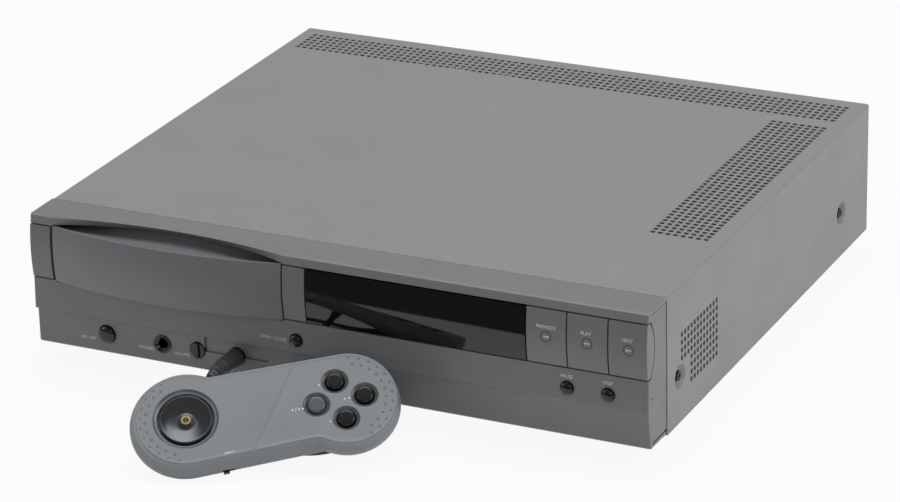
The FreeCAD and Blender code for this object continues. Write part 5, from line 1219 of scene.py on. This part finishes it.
    def domes(self, name: str, centres: np.ndarray, radius: float, height: float, finish: Finish) -> None:
        """Many low domes in one piece: radius times a sine out, height times a cosine up.

        Args:
            name: Name of the piece.
            centres: Rows of u and v.
            radius: Radius of a dome.
            height: Height of a dome.
            finish: Its finish.
        """
        ring = np.linspace(0, 2 * np.pi, 12, endpoint=False)
        t = np.array([0.05, 0.4, 0.75, 1.0])[:, None] * np.pi / 2
        u = (radius * np.sin(t) * np.cos(ring)).ravel()
        v = (radius * np.sin(t) * np.sin(ring)).ravel()
        n = (height * np.cos(t) + 0.0 * ring).ravel()
        points = self.axes().at(centres[:, :1] + u, centres[:, 1:] + v,
                                n + 0.01 + 0.0 * centres[:, :1]).reshape(-1, 3)
        one = grid_faces(4, 12, True)[:, ::-1].tolist() + [list(range(12))]
        faces = [[i + k * len(u) for i in f] for k in range(len(centres)) for f in one]
        Piece(name, finish, "hand_pad", "pad_plastic").build(points, faces)

    def build(self) -> None:
        """All of the pad."""
        self.build_top_shell()
        self.build_bottom_shell()
        self.build_disc()
        self.build_buttons()
        self.build_marks()


# Studio

@dataclass
class Studio:
    """Camera at the photo's angle, pale floor and soft light."""

    focal_px: float = 3779.0
    width_px: float = 900.0
    centre_px: tuple[float, float] = (457.0, 238.7)
    middle_px: tuple[float, float] = (450.0, 251.0)
    azimuth: float = 25.95
    elevation: float = 22.40
    roll: float = -1.47
    place: Point = (0.9924, -1.9903, 0.9817)
    world: float = 0.25
    floor_half: float = 8.0
    lamps: Sequence[tuple[str, Point, Point, float, float]] = (
        ("overhead", (-0.3, 0.5, 2.6), (0.0, 0.0, 0.05), 1.6, 40.0),
        ("right", (2.3, 0.3, 1.7), (0.0, 0.0, 0.05), 1.6, 25.0),
        ("front", (-2.1, -2.0, 1.0), (0.0, -0.1, 0.05), 1.4, 11.0),
        ("edge", (1.3, -2.3, 0.9), (0.0, -0.1, 0.05), 0.4, 3.0),
    )

    def build_camera(self) -> None:
        """Camera from the fitted focal length, middle, angles and place."""
        data = bpy.data.cameras.new("camera")
        data.sensor_width = 36.0
        data.lens = self.focal_px * 36.0 / self.width_px
        data.shift_x = (self.middle_px[0] - self.centre_px[0]) / self.width_px
        data.shift_y = (self.centre_px[1] - self.middle_px[1]) / self.width_px
        data.clip_start = 0.05
        obj = bpy.data.objects.new("camera", data)
        a, e = math.radians(self.azimuth), math.radians(self.elevation)
        back = Vector((math.sin(a) * math.cos(e), -math.cos(a) * math.cos(e), math.sin(e)))
        right = Vector((math.cos(a), math.sin(a), 0.0))
        up = back.cross(right)
        turn = Matrix((right, up, back)).transposed() @ Matrix.Rotation(math.radians(self.roll), 3, "Z")
        obj.matrix_world = Matrix.Translation(self.place) @ turn.to_4x4()
        bpy.context.scene.collection.objects.link(obj)
        bpy.context.scene.camera = obj

    def build_floor(self) -> None:
        """Wide pale floor."""
        paint = StudioFloor("paper_floor", "#dcdcdc", 0.6, mottle=0.004, mottle_mm=400.0, grain_mm=5.0,
                            grain_depth_mm=0.002)
        mesh, half = bpy.data.meshes.new("floor"), self.floor_half
        corners = [(-half, -half, 0), (half, -half, 0), (half, half, 0), (-half, half, 0)]
        mesh.from_pydata(corners, [], [(0, 1, 2, 3)])
        mesh.materials.append(paint.make())
        obj = bpy.data.objects.new("floor", mesh)
        bpy.context.scene.collection.objects.link(obj)

    def lamp(self, name: str, place: Point, target: Point, size: float,
             power: float) -> None:
        """Square area lamp that faces a target.

        Args:
            name: Its name.
            place: Where it stands, in metres.
            target: What it faces.
            size: Length of its side in metres.
            power: Its power in watts.
        """
        data = bpy.data.lights.new(name, "AREA")
        data.size = size
        data.energy = power
        obj = bpy.data.objects.new(name, data)
        obj.location = place
        obj.rotation_euler = (Vector(target) - Vector(place)).to_track_quat("-Z", "Y").to_euler()
        bpy.context.scene.collection.objects.link(obj)

    def build_light(self) -> None:
        """Even world light, large soft lamps overhead and at the right, and two weak ones in front."""
        world = bpy.data.worlds.new("studio")
        bpy.context.scene.world = world
        world.use_nodes = True
        background = world.node_tree.nodes["Background"]
        background.inputs["Color"].default_value = (1.0, 1.0, 1.0, 1.0)
        background.inputs["Strength"].default_value = self.world
        for lamp in self.lamps:
            self.lamp(*lamp)

    def build(self) -> None:
        """All of the studio, seen without a film curve."""
        bpy.context.scene.view_settings.view_transform = "Standard"
        self.build_camera()
        self.build_floor()
        self.build_light()


def dress_nodes() -> None:
    """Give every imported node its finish."""
    for name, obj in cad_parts.items():
        finish = NODE_FINISHES.get(name, BLACK_ABS)
        obj.data.materials.clear()
        obj.data.materials.append(finish.make())


def main() -> None:
    """Build everything in order."""
    logging.basicConfig(level=logging.INFO, format="%(message)s")
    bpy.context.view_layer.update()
    Studio().build()
    dress_nodes()
    pad = HandPad()
    plug = Plug().build()
    Cord().build(pad.axes(), plug)
    pad.build()
    FrontButtons().build()
    Printing().build()


if __name__ == "__main__":
    main()
